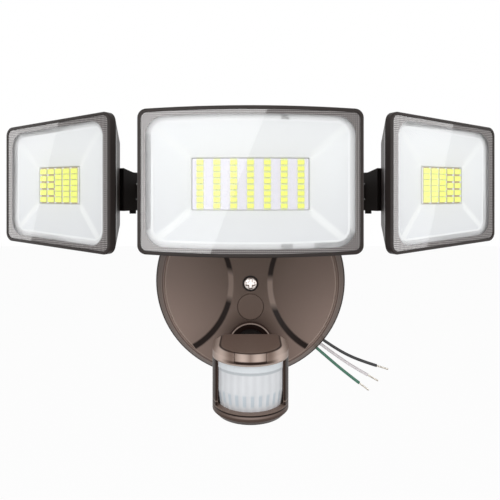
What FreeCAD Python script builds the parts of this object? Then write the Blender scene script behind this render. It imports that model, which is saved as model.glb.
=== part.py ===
import FreeCAD, Part
import math
import os
import re
import Sketcher
from FreeCAD import Placement, Rotation, Vector

# Motion sensor security light, in millimetres.
# +Z is up, the lamp heads face -Y, and +X is on the right of someone who looks at the light.
# The origin is the centre of the round wall plate, in the plane of the wall.
# A depth is a distance in front of the wall, or behind the front face on a lamp head.

doc = FreeCAD.newDocument("SecurityLight")
sheet = doc.addObject("Spreadsheet::Sheet", "Sizes")

SIZES = [
    # round wall plate, sized to cover a four inch ceiling box
    ("canopy_radius", 62.5),
    ("canopy_wall", 2.2),
    ("flange_edge", 1.8),
    ("flange_chamfer", 0.7),
    ("face_radius", 57.0),
    ("face_depth", 13.4),
    ("face_shoulder", 1.4),
    ("groove_inset", 0.5),
    ("groove_width", 0.9),
    ("groove_depth", 0.6),
    ("band_raise", 2.8),
    ("lobe_offset", 59.4),
    ("lobe_radius", 45.0),
    ("band_slope", 3.7),
    # foam gasket between the plate and the wall, cut open where the leads come out
    ("gasket_outer", 61.0),
    ("gasket_inner", 54.0),
    ("gasket_thick", 3.0),
    ("lead_gap_angle", 13.0),
    ("lead_gap_turn", -42.0),
    # crossbar that is screwed to the box
    ("bar_end", 7.55),
    ("bar_width", 19.0),
    ("bar_thick", 1.5),
    ("bar_corner", 3.0),
    ("box_screw_spacing", 88.9),
    ("box_slot_width", 4.4),
    ("box_slot_length", 10.0),
    ("thread_boss_radius", 4.0),
    ("thread_boss_height", 3.0),
    # centre screw, its seal and the plug below it
    ("centre_screw_radius", 2.1),
    ("thread_clearance", 0.05),
    ("screw_hole_clearance", 0.3),
    ("screw_head_radius", 4.2),
    ("screw_head_height", 2.3),
    ("screw_recess_radius", 5.1),
    ("screw_recess_depth", 1.8),
    ("seal_thick", 0.8),
    ("cross_length", 5.8),
    ("cross_width", 2.1),
    ("cross_depth", 1.5),
    ("plug_radius", 8.4),
    ("plug_drop", 14.9),
    ("plug_thick", 2.0),
    ("plug_stem_radius", 7.0),
    ("plug_stem_length", 4.0),
    ("plug_wall", 1.6),
    ("plug_gap", 0.1),
    ("plug_bevel", 0.5),
    # cast hub on the top of the plate
    ("hub_base_radius", 14.0),
    ("hub_base_thick", 4.0),
    ("hub_base_height", 36.0),
    ("hub_neck_radius", 10.5),
    ("arm_height", 59.2),
    ("arm_depth", 28.0),
    ("hub_tube_radius", 9.5),
    ("hub_tube_length", 40.0),
    ("arm_seat_length", 13.0),
    ("ear_thick", 5.0),
    ("ear_radius", 7.5),
    ("tilt_pin_depth", 46.0),
    ("tilt_pin_radius", 2.5),
    ("tilt_head_radius", 4.4),
    ("tilt_head_height", 2.8),
    ("hub_screw_radius", 1.9),
    ("hub_screw_spread", 14.0),
    ("hub_screw_length", 9.0),
    # driver behind the plate, and the grommet of the three leads
    ("driver_offset", -26.0),
    ("driver_middle", 21.0),
    ("driver_width", 27.0),
    ("driver_height", 28.0),
    ("driver_thick", 7.6),
    ("driver_wall", 1.2),
    ("board_thick", 1.6),
    ("grommet_width", 10.4),
    ("grommet_height", 4.4),
    ("grommet_length", 3.0),
    ("lead_diameter", 2.0),
    ("lead_tip_diameter", 1.2),
    ("lead_tip_length", 8.0),
    ("lead_pitch", 3.3),
    ("lead_drop", 15.0),
    # arms and knuckles
    ("arm_spigot_radius", 6.0),
    ("arm_radius", 6.4),
    ("arm_collar_radius", 8.6),
    ("arm_collar_length", 4.0),
    ("knuckle_offset", 72.5),
    ("knuckle_radius", 7.0),
    ("knuckle_height", 22.8),
    ("knuckle_drop", 0.3),
    ("eye_height", 9.0),
    ("pan_bolt_radius", 2.0),
    ("pan_bolt_tip", 2.2),
    ("pan_head_radius", 3.4),
    ("pan_head_height", 2.4),
    ("bracket_flare", 7.0),
    ("bracket_rise", 2.3),
    ("turn_clearance", 0.3),
    ("pin_clearance", 0.06),
    # main lamp head
    ("main_width", 113.5),
    ("main_side_height", 72.6),
    ("main_bow", 2.0),
    ("main_corner", 4.6),
    ("main_height", 63.95),
    ("main_reach", 15.0),
    ("main_border", 3.4),
    ("main_window_drop", 6.4),
    ("main_window_corner", 9.0),
    ("main_field_width", 59.4),
    ("main_field_height", 26.0),
    ("main_field_shift", 0.0),
    ("main_field_drop", 1.2),
    ("main_column_pitch", 8.6),
    ("main_row_pitch", 3.17),
    ("main_chip_width", 3.5),
    ("main_chip_height", 2.3),
    # side lamp heads, a little lower at their outer ends
    ("side_width", 87.8),
    ("side_inner_height", 76.4),
    ("side_outer_height", 68.6),
    ("side_corner", 5.2),
    ("side_height", 63.35),
    ("side_offset", 111.9),
    ("side_front_depth", 51.45),
    ("side_pan", 30.0),
    ("side_border", 4.9),
    ("side_window_drop", 7.0),
    ("side_window_corner", 8.0),
    ("side_field_width", 33.8),
    ("side_field_height", 20.6),
    ("side_field_shift", 2.5),
    ("side_field_drop", 0.95),
    ("side_column_pitch", 6.59),
    ("side_row_pitch", 3.28),
    ("side_chip_width", 5.45),
    ("side_chip_height", 3.05),
    # layers shared by the three heads
    ("head_wall_depth", 4.2),
    ("head_depth", 25.0),
    ("head_back_inset", 17.4),
    ("head_back_drop", 10.8),
    ("head_back_corner", 4.0),
    ("rim_width", 1.7),
    ("rim_chamfer", 0.5),
    ("lens_recess", 0.4),
    ("lens_thick", 2.0),
    ("lens_gap", 0.1),
    ("seal_height", 1.0),
    ("reflector_lip", 3.1),
    ("reflector_lip_thick", 1.2),
    ("reflector_wall", 1.2),
    ("field_depth", 5.6),
    ("led_board_margin", 3.0),
    ("chip_height", 0.7),
    ("housing_floor", 3.0),
    ("fin_margin", 9.0),
    ("fin_height", 3.0),
    ("fin_thick", 2.0),
    ("fin_pitch", 6.0),
    ("yoke_base_size", 24.0),
    ("yoke_base_thick", 3.0),
    # motion sensor
    ("sensor_back_depth", 51.0),
    ("sensor_length", 35.0),
    ("sensor_radius", 20.5),
    ("sensor_back_chamfer", 2.5),
    ("sensor_top", -22.4),
    ("sensor_cap_height", 6.4),
    ("sensor_cap_bevel", 5.0),
    ("sensor_cap_forward", 3.2),
    ("sensor_cap_slope", 2.6),
    ("sensor_lens_height", 24.1),
    ("sensor_base_height", 6.1),
    ("sensor_base_round", 2.4),
    ("sensor_bar_width", 2.2),
    ("sensor_bar_bevel", 1.4),
    ("sensor_wall", 1.3),
    ("sensor_lens_radius", 19.0),
    ("sensor_lens_thick", 1.0),
    ("sensor_lens_taper", 1.6),
    ("sensor_tier_height", 8.4),
    ("clip_width", 16.5),
    ("clip_height", 4.6),
    ("clip_sink", 0.5),
    ("clip_reach", 5.0),
    ("socket_height", -39.0),
    ("ball_radius", 11.0),
    ("ball_depth", 12.0),
    ("collar_radius", 12.6),
    ("collar_flange_radius", 14.8),
    ("collar_flange_thick", 1.2),
    ("collar_length", 11.4),
    ("collar_mouth_radius", 10.2),
    ("collar_rim", 1.3),
    ("collar_nut_radius", 14.3),
    ("collar_nut_thick", 3.6),
    ("sensor_neck_radius", 6.0),
    ("sensor_bore_radius", 3.0),
    ("sensor_pivot_depth", 45.5),
    ("sensor_tongue_thick", 6.0),
    ("sensor_ear_thick", 3.2),
    ("sensor_ear_radius", 4.8),
    ("sensor_pin_radius", 1.5),
    ("dial_radius", 2.4),
    ("dial_height", 3.0),
    ("dial_pitch", 7.5),
    ("dial_row_inset", 9.0),
    ("dial_proud", 0.8),
    ("sensor_screw_spread", 31.6),
    ("sensor_screw_inset", 6.5),
    ("sensor_screw_radius", 1.1),
    ("sensor_screw_head_radius", 1.9),
    ("sensor_screw_head_height", 1.3),
    ("sensor_post_radius", 3.6),
    ("sensor_post_height", 8.0),
    ("element_radius", 4.6),
    ("element_height", 4.2),
]
ALIASES = {alias for alias, number in SIZES}
for row, (alias, number) in enumerate(SIZES, start=1):
    sheet.set(f"A{row}", alias.replace("_", " "))
    sheet.set(f"B{row}", str(number))
    sheet.setAlias(f"B{row}", alias)
doc.recompute()

MAIN_COLUMN_COUNT = 7
MAIN_ROW_COUNT = 8
SIDE_COLUMN_COUNT = 5
SIDE_ROW_COUNT = 6
SIDE_SHORT_ROW_COUNT = 5
LENS_FACET_COUNT = 14
QUARTER_TURN_DEGREES = 90
FINS = {"main": (-6, -5, -4, -3, 3, 4, 5, 6), "side": (0, 1, 2, 3)}
DIALS = {"dial_time": 1, "dial_light": 0, "dial_range": -1}

FORWARD = Rotation(Vector(1, 0, 0), QUARTER_TURN_DEGREES)
RIGHTWARD = Rotation(Vector(0, 1, 0), QUARTER_TURN_DEGREES)
UPWARD = Rotation()
kept = {}


def formula(text):
    """The same expression with every alias named as a cell of the sheet."""
    return re.sub(r"[a-z_]+", lambda word: "Sizes." + word[0] if word[0] in ALIASES else word[0], str(text))


def value(text):
    return float(sheet.evalExpression(formula(text)))


def bind(thing, **sizes):
    for name, text in sizes.items():
        thing.setExpression(name, formula(text))
    return thing


def place(thing, x="0", y="0", z="0", turn=UPWARD):
    """Set a piece down, with its place bound to the sheet."""
    thing.Placement = Placement(Vector(value(x), value(y), value(z)), turn)
    for axis, text in (("x", x), ("y", y), ("z", z)):
        thing.setExpression(f".Placement.Base.{axis}", formula(text))
    return thing


def keep(thing, name):
    thing.Label = name
    kept[name] = thing
    return thing


# ---- primitives and booleans ----


def cylinder(name, radius, length, x="0", y="0", z="0", turn=FORWARD):
    solid = doc.addObject("Part::Cylinder", name)
    bind(solid, Radius=radius, Height=length)
    return place(solid, x, y, z, turn)


def cone(name, low_radius, high_radius, length, x="0", y="0", z="0", turn=FORWARD):
    solid = doc.addObject("Part::Cone", name)
    bind(solid, Radius1=low_radius, Radius2=high_radius, Height=length)
    return place(solid, x, y, z, turn)


def ball(name, radius, x="0", y="0", z="0"):
    solid = doc.addObject("Part::Sphere", name)
    bind(solid, Radius=radius)
    return place(solid, x, y, z)


def block(name, width, depth, height, x="0", y="0", z="0"):
    """A box centred on x, from y backwards and centred on z."""
    solid = doc.addObject("Part::Box", name)
    bind(solid, Length=width, Width=depth, Height=height)
    return place(solid, f"({x}) - ({width}) / 2", y, f"({z}) - ({height}) / 2")


def fused(name, *solids):
    joined = doc.addObject("Part::MultiFuse", name)
    joined.Shapes = list(solids)
    joined.Refine = True
    return joined


def common(name, *solids):
    shared = doc.addObject("Part::MultiCommon", name)
    shared.Shapes = list(solids)
    return shared


def without(name, solid, *tools):
    rest = doc.addObject("Part::Cut", name)
    rest.Base = solid
    rest.Tool = tools[0] if len(tools) == 1 else fused(name + "_tools", *tools)
    return rest


# ---- bodies, sketches and features ----


def new_body(name):
    body = doc.addObject("PartDesign::Body", name)
    body.Label = name
    return body


def sketch_on(body, role, offset="0", across="0", up="0"):
    """A sketch on one of the body's own planes, moved along that plane's normal and within the plane."""
    sketch = body.newObject("Sketcher::SketchObject", body.Name + "_outline")
    plane = next(feature for feature in body.Origin.OriginFeatures if feature.Role == role)
    sketch.AttachmentSupport = [(plane, "")]
    sketch.MapMode = "FlatFace"
    for axis, distance in (("x", across), ("y", up), ("z", offset)):
        sketch.setExpression(f".AttachmentOffset.Base.{axis}", formula(distance))
    return sketch


def dimension(sketch, kind, references, text):
    index = sketch.addConstraint(Sketcher.Constraint(kind, *references, value(text)))
    sketch.setExpression(f"Constraints[{index}]", formula(text))


def circle(sketch, radius, across="0", up="0"):
    centre = Vector(value(across), value(up), 0)
    index = sketch.addGeometry(Part.Circle(centre, Vector(0, 0, 1), value(radius)))
    dimension(sketch, "Radius", [index], radius)
    dimension(sketch, "DistanceX", [-1, 1, index, 3], across)
    dimension(sketch, "DistanceY", [-1, 1, index, 3], up)
    return sketch


def polygon(sketch, corners):
    """A closed outline of straight lines whose corners are bound to the sheet."""
    points = [Vector(value(across), value(up), 0) for across, up in corners]
    first = sketch.GeometryCount
    count = len(points)
    for number, point in enumerate(points):
        sketch.addGeometry(Part.LineSegment(point, points[(number + 1) % count]))
    for number, (across, up) in enumerate(corners):
        following = first + (number + 1) % count
        sketch.addConstraint(Sketcher.Constraint("Coincident", first + number, 2, following, 1))
        dimension(sketch, "DistanceX", [-1, 1, first + number, 1], across)
        dimension(sketch, "DistanceY", [-1, 1, first + number, 1], up)
    return sketch


def rectangle(sketch, width, height, across="0", up="0"):
    left = f"({across}) - ({width}) / 2"
    right = f"({across}) + ({width}) / 2"
    low = f"({up}) - ({height}) / 2"
    high = f"({up}) + ({height}) / 2"
    return polygon(sketch, [(left, low), (right, low), (right, high), (left, high)])


def panel(sketch, width, left_height, right_height, corner, bow=None):
    """An upright panel with round corners, its top and bottom straight or bowed outwards."""
    half = value(width) / 2
    radius = value(corner)
    heights = (value(left_height) / 2, value(right_height) / 2)
    slope = (heights[1] - heights[0]) / (2 * half)
    lean = math.hypot(1, slope)
    if bow:
        bow_radius = f"(({width}) ^ 2 / 4 + ({bow}) ^ 2) / (2 * ({bow}))"
        big = value(bow_radius)
        centre_up = heights[0] + value(bow) - big
    edges = []
    ends = []
    for side in (-1, 1):
        across = side * (half - radius)
        if bow:
            up = centre_up + math.sqrt((big - radius) ** 2 - across**2)
            touch = Vector(across, up - centre_up, 0) * (big / (big - radius)) + Vector(0, centre_up, 0)
        else:
            up = (heights[0] + heights[1]) / 2 + slope * across - radius * lean
            touch = Vector(across - radius * slope / lean, up + radius / lean, 0)
        ends.append((Vector(across, up, 0), Vector(side * half, up, 0), touch))
    (left, left_side, left_top), (right, right_side, right_top) = ends

    def lower(point):
        return Vector(point.x, -point.y, 0)

    def corner_arc(centre, start, end):
        angles = [math.atan2(point.y - centre.y, point.x - centre.x) for point in (start, end)]
        return Part.ArcOfCircle(Part.Circle(centre, Vector(0, 0, 1), radius), *angles)

    def bowed(start, end, centre):
        angles = [math.atan2(point.y - centre.y, point.x - centre.x) for point in (start, end)]
        return Part.ArcOfCircle(Part.Circle(centre, Vector(0, 0, 1), big), *angles)

    if bow:
        top = bowed(right_top, left_top, Vector(0, centre_up, 0))
        bottom = bowed(lower(left_top), lower(right_top), Vector(0, -centre_up, 0))
    else:
        top = Part.LineSegment(right_top, left_top)
        bottom = Part.LineSegment(lower(left_top), lower(right_top))
    edges = [
        Part.LineSegment(lower(right_side), right_side),
        corner_arc(right, right_side, right_top),
        top,
        corner_arc(left, left_top, left_side),
        Part.LineSegment(left_side, lower(left_side)),
        corner_arc(lower(left), lower(left_side), lower(left_top)),
        bottom,
        corner_arc(lower(right), lower(right_top), lower(right_side)),
    ]
    first = sketch.GeometryCount
    sketch.addGeometry(edges)
    for number in range(len(edges)):
        following = first + (number + 1) % len(edges)
        sketch.addConstraint(Sketcher.Constraint("Tangent", first + number, 2, following, 1))
    for number in (0, 4):
        sketch.addConstraint(Sketcher.Constraint("Vertical", first + number))
    for number in (3, 5, 7):
        sketch.addConstraint(Sketcher.Constraint("Equal", first + 1, first + number))
    dimension(sketch, "Radius", [first + 1], corner)
    dimension(sketch, "DistanceX", [-1, 1, first, 1], f"({width}) / 2")
    dimension(sketch, "DistanceX", [-1, 1, first + 4, 1], f"-({width}) / 2")
    for side, height, upright in ((1, right_height, 0), (-1, left_height, 4)):
        for way, level in ((1, 2), (-1, 6)):
            spot = Vector(side * half, way * value(height) / 2, 0)
            point = sketch.addGeometry(Part.Point(spot), True)
            sketch.addConstraint(Sketcher.Constraint("PointOnObject", point, 1, first + upright))
            sketch.addConstraint(Sketcher.Constraint("PointOnObject", point, 1, first + level))
            dimension(sketch, "DistanceY", [-1, 1, point, 1], f"{way} * ({height}) / 2")
    if bow:
        dimension(sketch, "Radius", [first + 2], bow_radius)
        dimension(sketch, "Radius", [first + 6], bow_radius)
    return sketch


def feature(body, kind, sketch, **sizes):
    made = body.newObject("PartDesign::" + kind, body.Name + "_" + kind.lower())
    made.Profile = sketch
    return bind(made, **sizes)


def pad(body, sketch, length, reverse=False):
    made = feature(body, "Pad", sketch, Length=length)
    made.Reversed = reverse
    return made


def pocket(body, sketch, length, reverse=False):
    """A pocket goes against the sketch's normal unless it is reversed."""
    made = feature(body, "Pocket", sketch, Length=length)
    made.Reversed = reverse
    return made


def turned(body, sketch, axis, kind="Revolution", angle="360"):
    made = feature(body, kind, sketch, Angle=angle)
    made.ReferenceAxis = (sketch, [axis])
    return made


def lofted(body, sections, kind="AdditiveLoft"):
    made = feature(body, kind, sections[0])
    made.Sections = sections[1:]
    made.Ruled = True
    return made


def edges_of(shape, test):
    return [f"Edge{number}" for number, edge in enumerate(shape.Edges, start=1) if test(edge)]


def dressed(body, kind, size, test):
    """A fillet or chamfer on the edges of the body's last feature that pass the test."""
    doc.recompute()
    base = body.Tip
    made = body.newObject("PartDesign::" + kind, body.Name + "_" + kind.lower())
    made.Base = (base, edges_of(base.Shape, test))
    bind(made, **{"Radius" if kind == "Fillet" else "Size": size})
    return made


def runs_along(edge, axis):
    return isinstance(edge.Curve, Part.Line) and abs(abs(edge.Curve.Direction.dot(axis)) - 1) < 1e-6


# ---- wall gasket: an open ring, so that nothing stands proud of the wall's plane ----

gasket = new_body("wall_gasket")
section = sketch_on(gasket, "YZ_Plane")
polygon(
    section,
    [
        ("-gasket_thick", "gasket_inner"),
        ("0", "gasket_inner"),
        ("0", "gasket_outer"),
        ("-gasket_thick", "gasket_outer"),
    ],
)
turned(gasket, section, "H_Axis", angle="360 - lead_gap_angle")
doc.recompute()
gap_start = QUARTER_TURN_DEGREES - value("lead_gap_turn") + value("lead_gap_angle") / 2
gasket.Placement = Placement(Vector(), Rotation(Vector(0, 1, 0), gap_start))
keep(gasket, "wall_gasket")

# ---- mounting crossbar ----

bar = new_body("mounting_crossbar")
outline = sketch_on(bar, "XZ_Plane")
rectangle(outline, "box_screw_spacing + 2 * bar_end", "bar_width")
pad(bar, outline, "bar_thick")
dressed(bar, "Fillet", "bar_corner", lambda edge: runs_along(edge, Vector(0, 1, 0)))
boss = sketch_on(bar, "XZ_Plane", "bar_thick")
circle(boss, "thread_boss_radius")
pad(bar, boss, "thread_boss_height")
slots = []
for side in (-1, 1):
    for end in (-1, 1):
        spot = f"{side} * box_screw_spacing / 2 + {end} * (box_slot_length - box_slot_width) / 2"
        slots.append(cylinder("slot_end", "box_slot_width / 2", "bar_thick", x=spot))
    middle = f"{side} * box_screw_spacing / 2"
    slots.append(block("slot_middle", "box_slot_length - box_slot_width", "bar_thick", "box_slot_width",
                       x=middle, y="-bar_thick"))
thread = cylinder(
    "crossbar_thread", "centre_screw_radius + thread_clearance", "bar_thick + thread_boss_height"
)
keep(without("crossbar", bar, thread, *slots), "mounting_crossbar")

# ---- wall plate: a turned shell with a raised hourglass band across its face ----

shell = new_body("plate_shell")
section = sketch_on(shell, "YZ_Plane")
polygon(
    section,
    [
        ("-gasket_thick", "canopy_radius - canopy_wall"),
        ("-gasket_thick", "canopy_radius"),
        ("-gasket_thick - flange_edge", "canopy_radius"),
        ("-gasket_thick - flange_edge - flange_chamfer", "canopy_radius - flange_chamfer"),
        ("-face_depth + face_shoulder", "face_radius + face_shoulder / 2"),
        ("-face_depth", "face_radius - face_shoulder / 2"),
        ("-face_depth", "face_radius - face_shoulder / 2 - groove_inset"),
        ("-face_depth + groove_depth", "face_radius - face_shoulder / 2 - groove_inset - groove_width / 2"),
        ("-face_depth", "face_radius - face_shoulder / 2 - groove_inset - groove_width"),
        ("-face_depth", "0"),
        ("-face_depth + canopy_wall", "0"),
        ("-face_depth + canopy_wall", "face_radius - face_shoulder - canopy_wall"),
        ("-gasket_thick - flange_edge - canopy_wall", "canopy_radius - canopy_wall - flange_chamfer"),
    ],
)
turned(shell, section, "H_Axis")

band_radius = "face_radius - face_shoulder / 2 - groove_inset - groove_width"
band_depth = "face_depth + band_raise"
slab = cylinder("band_slab", band_radius, "band_raise", y="-face_depth")
lobes = [
    cone(
        "lobe",
        "lobe_radius",
        "lobe_radius + band_slope",
        "band_raise",
        x=f"{side} * lobe_offset",
        y="-face_depth",
    )
    for side in (-1, 1)
]
band = without("plate_band", slab, *lobes)
through = f"{band_depth} + 1"
plate_holes = [
    cylinder(
        "screw_recess",
        "screw_recess_radius",
        "screw_recess_depth + 1",
        y=f"screw_recess_depth - ({band_depth})",
    ),
    cylinder("screw_way", "centre_screw_radius + screw_hole_clearance", through),
    cylinder(
        "plug_recess",
        "plug_radius + plug_gap",
        "plug_thick + 1",
        y=f"plug_thick - ({band_depth})",
        z="-plug_drop",
    ),
    cylinder("plug_way", "plug_stem_radius + plug_gap", through, z="-plug_drop"),
    cylinder("collar_way", "collar_radius + plug_gap", through, z="socket_height"),
    cylinder("wire_way", "sensor_bore_radius", through, z="hub_base_height"),
]
for side in (-1, 1):
    plate_holes.append(
        cylinder("hub_screw_way", "hub_screw_radius + screw_hole_clearance", through,
                 x=f"{side} * hub_screw_spread / 2", z="hub_base_height")
    )
keep(without("plate", fused("plate_blank", shell, band), *plate_holes), "canopy")

# ---- centre screw with a cross recess, its seal, and the round plug below it ----

head_seat = f"{band_depth} - screw_recess_depth + seal_thick"
screw = new_body("screw_blank")
section = sketch_on(screw, "YZ_Plane")
polygon(
    section,
    [
        ("0", "0"),
        ("0", "centre_screw_radius"),
        (f"-({head_seat})", "centre_screw_radius"),
        (f"-({head_seat})", "screw_head_radius"),
        (f"-({head_seat}) - screw_head_height * 0.45", "screw_head_radius"),
        (f"-({head_seat}) - screw_head_height * 0.85", "screw_head_radius * 0.75"),
        (f"-({head_seat}) - screw_head_height", "screw_head_radius * 0.4"),
        (f"-({head_seat}) - screw_head_height", "0"),
    ],
)
turned(screw, section, "H_Axis")
head_front = f"{head_seat} + screw_head_height"
cross = [
    block("cross_across", "cross_length", "cross_depth", "cross_width", y=f"-({head_front})"),
    block("cross_up", "cross_width", "cross_depth", "cross_length", y=f"-({head_front})"),
]
keep(without("centre_screw_cut", screw, *cross), "centre_screw")

seal_y = f"screw_recess_depth - ({band_depth})"
keep(
    without(
        "screw_seal_ring",
        cylinder("seal_blank", "screw_recess_radius - plug_gap * 2", "seal_thick", y=seal_y),
        cylinder("seal_bore", "centre_screw_radius + thread_clearance", "seal_thick", y=seal_y),
    ),
    "screw_seal",
)

plug = new_body("plug_cap")
section = sketch_on(plug, "YZ_Plane")
plug_front = f"-({band_depth})"
polygon(
    section,
    [
        (plug_front, "0"),
        (plug_front, "plug_radius - plug_bevel"),
        (f"{plug_front} + plug_bevel", "plug_radius"),
        (f"{plug_front} + plug_thick", "plug_radius"),
        (f"{plug_front} + plug_thick", "plug_stem_radius"),
        (f"{plug_front} + plug_thick + plug_stem_length", "plug_stem_radius"),
        (f"{plug_front} + plug_thick + plug_stem_length", "plug_stem_radius - plug_wall"),
        (f"{plug_front} + plug_thick", "plug_stem_radius - plug_wall"),
        (f"{plug_front} + plug_thick", "0"),
    ],
)
turned(plug, section, "H_Axis")
place(plug, z="-plug_drop")
keep(plug, "plug_cap")

# ---- cast hub: base, sloping neck, cross tube for the arms and two ears for the main head ----

neck = new_body("hub_neck")
neck_low = sketch_on(neck, "XZ_Plane", f"{band_depth} + hub_base_thick - 1")
circle(neck_low, "hub_neck_radius", up="hub_base_height")
neck_high = sketch_on(neck, "XZ_Plane", "arm_depth + hub_tube_radius / 2")
circle(neck_high, "hub_neck_radius * 0.8", up="arm_height")
lofted(neck, [neck_low, neck_high])

ears = []
for side in (-1, 1):
    ear = new_body("hub_ear")
    outline = sketch_on(
        ear, "YZ_Plane", f"{side} * (yoke_base_size / 4 + turn_clearance + ear_thick / 2) - ear_thick / 2"
    )
    circle(outline, "ear_radius", "-tilt_pin_depth", "arm_height")
    pad(ear, outline, "ear_thick")
    web = sketch_on(
        ear, "YZ_Plane", f"{side} * (yoke_base_size / 4 + turn_clearance + ear_thick / 2) - ear_thick / 2"
    )
    polygon(
        web,
        [
            ("-arm_depth", "arm_height - hub_tube_radius"),
            ("-arm_depth", "arm_height + hub_tube_radius"),
            ("-tilt_pin_depth", "arm_height + ear_radius"),
            ("-tilt_pin_depth", "arm_height - ear_radius"),
        ],
    )
    pad(ear, web, "ear_thick")
    ears.append(ear)

cross_tube = cylinder("hub_cross_tube", "hub_tube_radius", "hub_tube_length", x="-hub_tube_length / 2",
                      y="-arm_depth", z="arm_height", turn=RIGHTWARD)
base_disc = cylinder(
    "hub_base_disc", "hub_base_radius", "hub_base_thick", y=f"-({band_depth})", z="hub_base_height"
)
hub_cuts = [
    cylinder("tilt_way", "tilt_pin_radius + pin_clearance", "hub_tube_length", x="-hub_tube_length / 2",
             y="-tilt_pin_depth", z="arm_height", turn=RIGHTWARD),
]
for side in (-1, 1):
    inner = f"{side} * hub_tube_length / 2 - {1 if side > 0 else 0} * arm_seat_length"
    hub_cuts.append(
        cylinder("arm_seat", "arm_spigot_radius + pin_clearance", "arm_seat_length", x=inner,
                 y="-arm_depth", z="arm_height", turn=RIGHTWARD)
    )
    hub_cuts.append(
        cylinder("hub_thread", "hub_screw_radius", "hub_base_thick + 1", x=f"{side} * hub_screw_spread / 2",
                 y=f"-({band_depth})", z="hub_base_height")
    )
keep(without("hub_cut", fused("hub_blank", base_disc, neck, cross_tube, *ears), *hub_cuts), "hub")

hub_screws = []
for side in (-1, 1):
    spot = f"{side} * hub_screw_spread / 2"
    seat = "canopy_wall - face_depth"
    shank = cylinder(
        "hub_screw_shank",
        "hub_screw_radius - thread_clearance",
        "hub_screw_length",
        x=spot,
        y=seat,
        z="hub_base_height",
    )
    cap = cylinder("hub_screw_head", "hub_screw_radius * 1.9", "hub_screw_radius", x=spot,
                   y=f"{seat} + hub_screw_radius", z="hub_base_height")
    hub_screws.append(fused("hub_screw", shank, cap))
group = doc.addObject("Part::Compound", "hub_screw_group")
group.Links = hub_screws
keep(group, "hub_screws")

# ---- tilt bolt and nut of the main head ----

bolt_reach = "yoke_base_size / 4 + turn_clearance + ear_thick"
shank = cylinder(
    "tilt_shank",
    "tilt_pin_radius",
    f"2 * ({bolt_reach}) + tilt_head_height",
    x=f"-({bolt_reach})",
    y="-tilt_pin_depth",
    z="arm_height",
    turn=RIGHTWARD,
)
head = cylinder(
    "tilt_head",
    "tilt_head_radius",
    "tilt_head_height",
    x=f"-({bolt_reach}) - tilt_head_height",
    y="-tilt_pin_depth",
    z="arm_height",
    turn=RIGHTWARD,
)
keep(fused("tilt_bolt_joined", shank, head), "main_tilt_bolt")

nut = doc.addObject("Part::Prism", "tilt_nut_blank")
nut.Polygon = 6
bind(nut, Circumradius="tilt_head_radius", Height="tilt_head_height - 0.3")
place(nut, bolt_reach, "-tilt_pin_depth", "arm_height", RIGHTWARD)
nut_bore = cylinder("tilt_nut_bore", "tilt_pin_radius + thread_clearance", "tilt_head_height", x=bolt_reach,
                    y="-tilt_pin_depth", z="arm_height", turn=RIGHTWARD)
keep(without("tilt_nut_cut", nut, nut_bore), "main_tilt_nut")

# ---- driver case behind the plate, its board and the grommet of the leads ----

driver_y = "canopy_wall - face_depth"
case = block(
    "driver_blank",
    "driver_width",
    "driver_thick",
    "driver_height",
    "driver_offset",
    driver_y,
    "driver_middle",
)
case_room = block("driver_room", "driver_width - 2 * driver_wall", "driver_thick - driver_wall",
                  "driver_height - 2 * driver_wall", "driver_offset", driver_y, "driver_middle")
grommet_x = "driver_offset + driver_width / 2 - grommet_width / 2 - 2 * driver_wall"
grommet_y = f"{driver_y} + driver_thick / 2 + driver_wall / 2"
case_bottom = "driver_middle - driver_height / 2"
case_way = block("grommet_way", "grommet_width", "grommet_height", "2 * driver_wall", grommet_x,
                 f"{grommet_y} - grommet_height / 2", case_bottom)
keep(without("driver_case_cut", case, case_room, case_way), "driver_case")

driver_board = block("driver_plate", "driver_width - 2 * driver_wall - 1", "board_thick",
                     "driver_height - 2 * driver_wall - 1", "driver_offset",
                     f"{driver_y} + driver_thick - driver_wall - board_thick", "driver_middle")
transformer = block("driver_transformer", "driver_width * 0.4", "driver_thick / 2", "driver_height * 0.4",
                    "driver_offset", f"{driver_y} + driver_thick / 2 - driver_wall - board_thick",
                    "driver_middle + driver_height * 0.15")
capacitor = cylinder(
    "driver_capacitor",
    "driver_thick / 4",
    "driver_height / 2",
    "driver_offset - driver_width / 3",
    f"{driver_y} + driver_thick / 2 - board_thick / 2",
    "driver_middle - driver_height / 4",
    UPWARD,
)
keep(fused("driver_board_joined", driver_board, transformer, capacitor), "driver_board")

grommet = block("lead_grommet_blank", "grommet_width - 2 * plug_gap", "grommet_height - 2 * plug_gap",
                "grommet_length + driver_wall", grommet_x, f"{grommet_y} - grommet_height / 2 + plug_gap",
                f"{case_bottom} + (driver_wall - grommet_length) / 2")
keep(grommet, "lead_grommet")

# ---- supply leads: straight runs joined by tangent arcs, ending in bare tips ----

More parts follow.
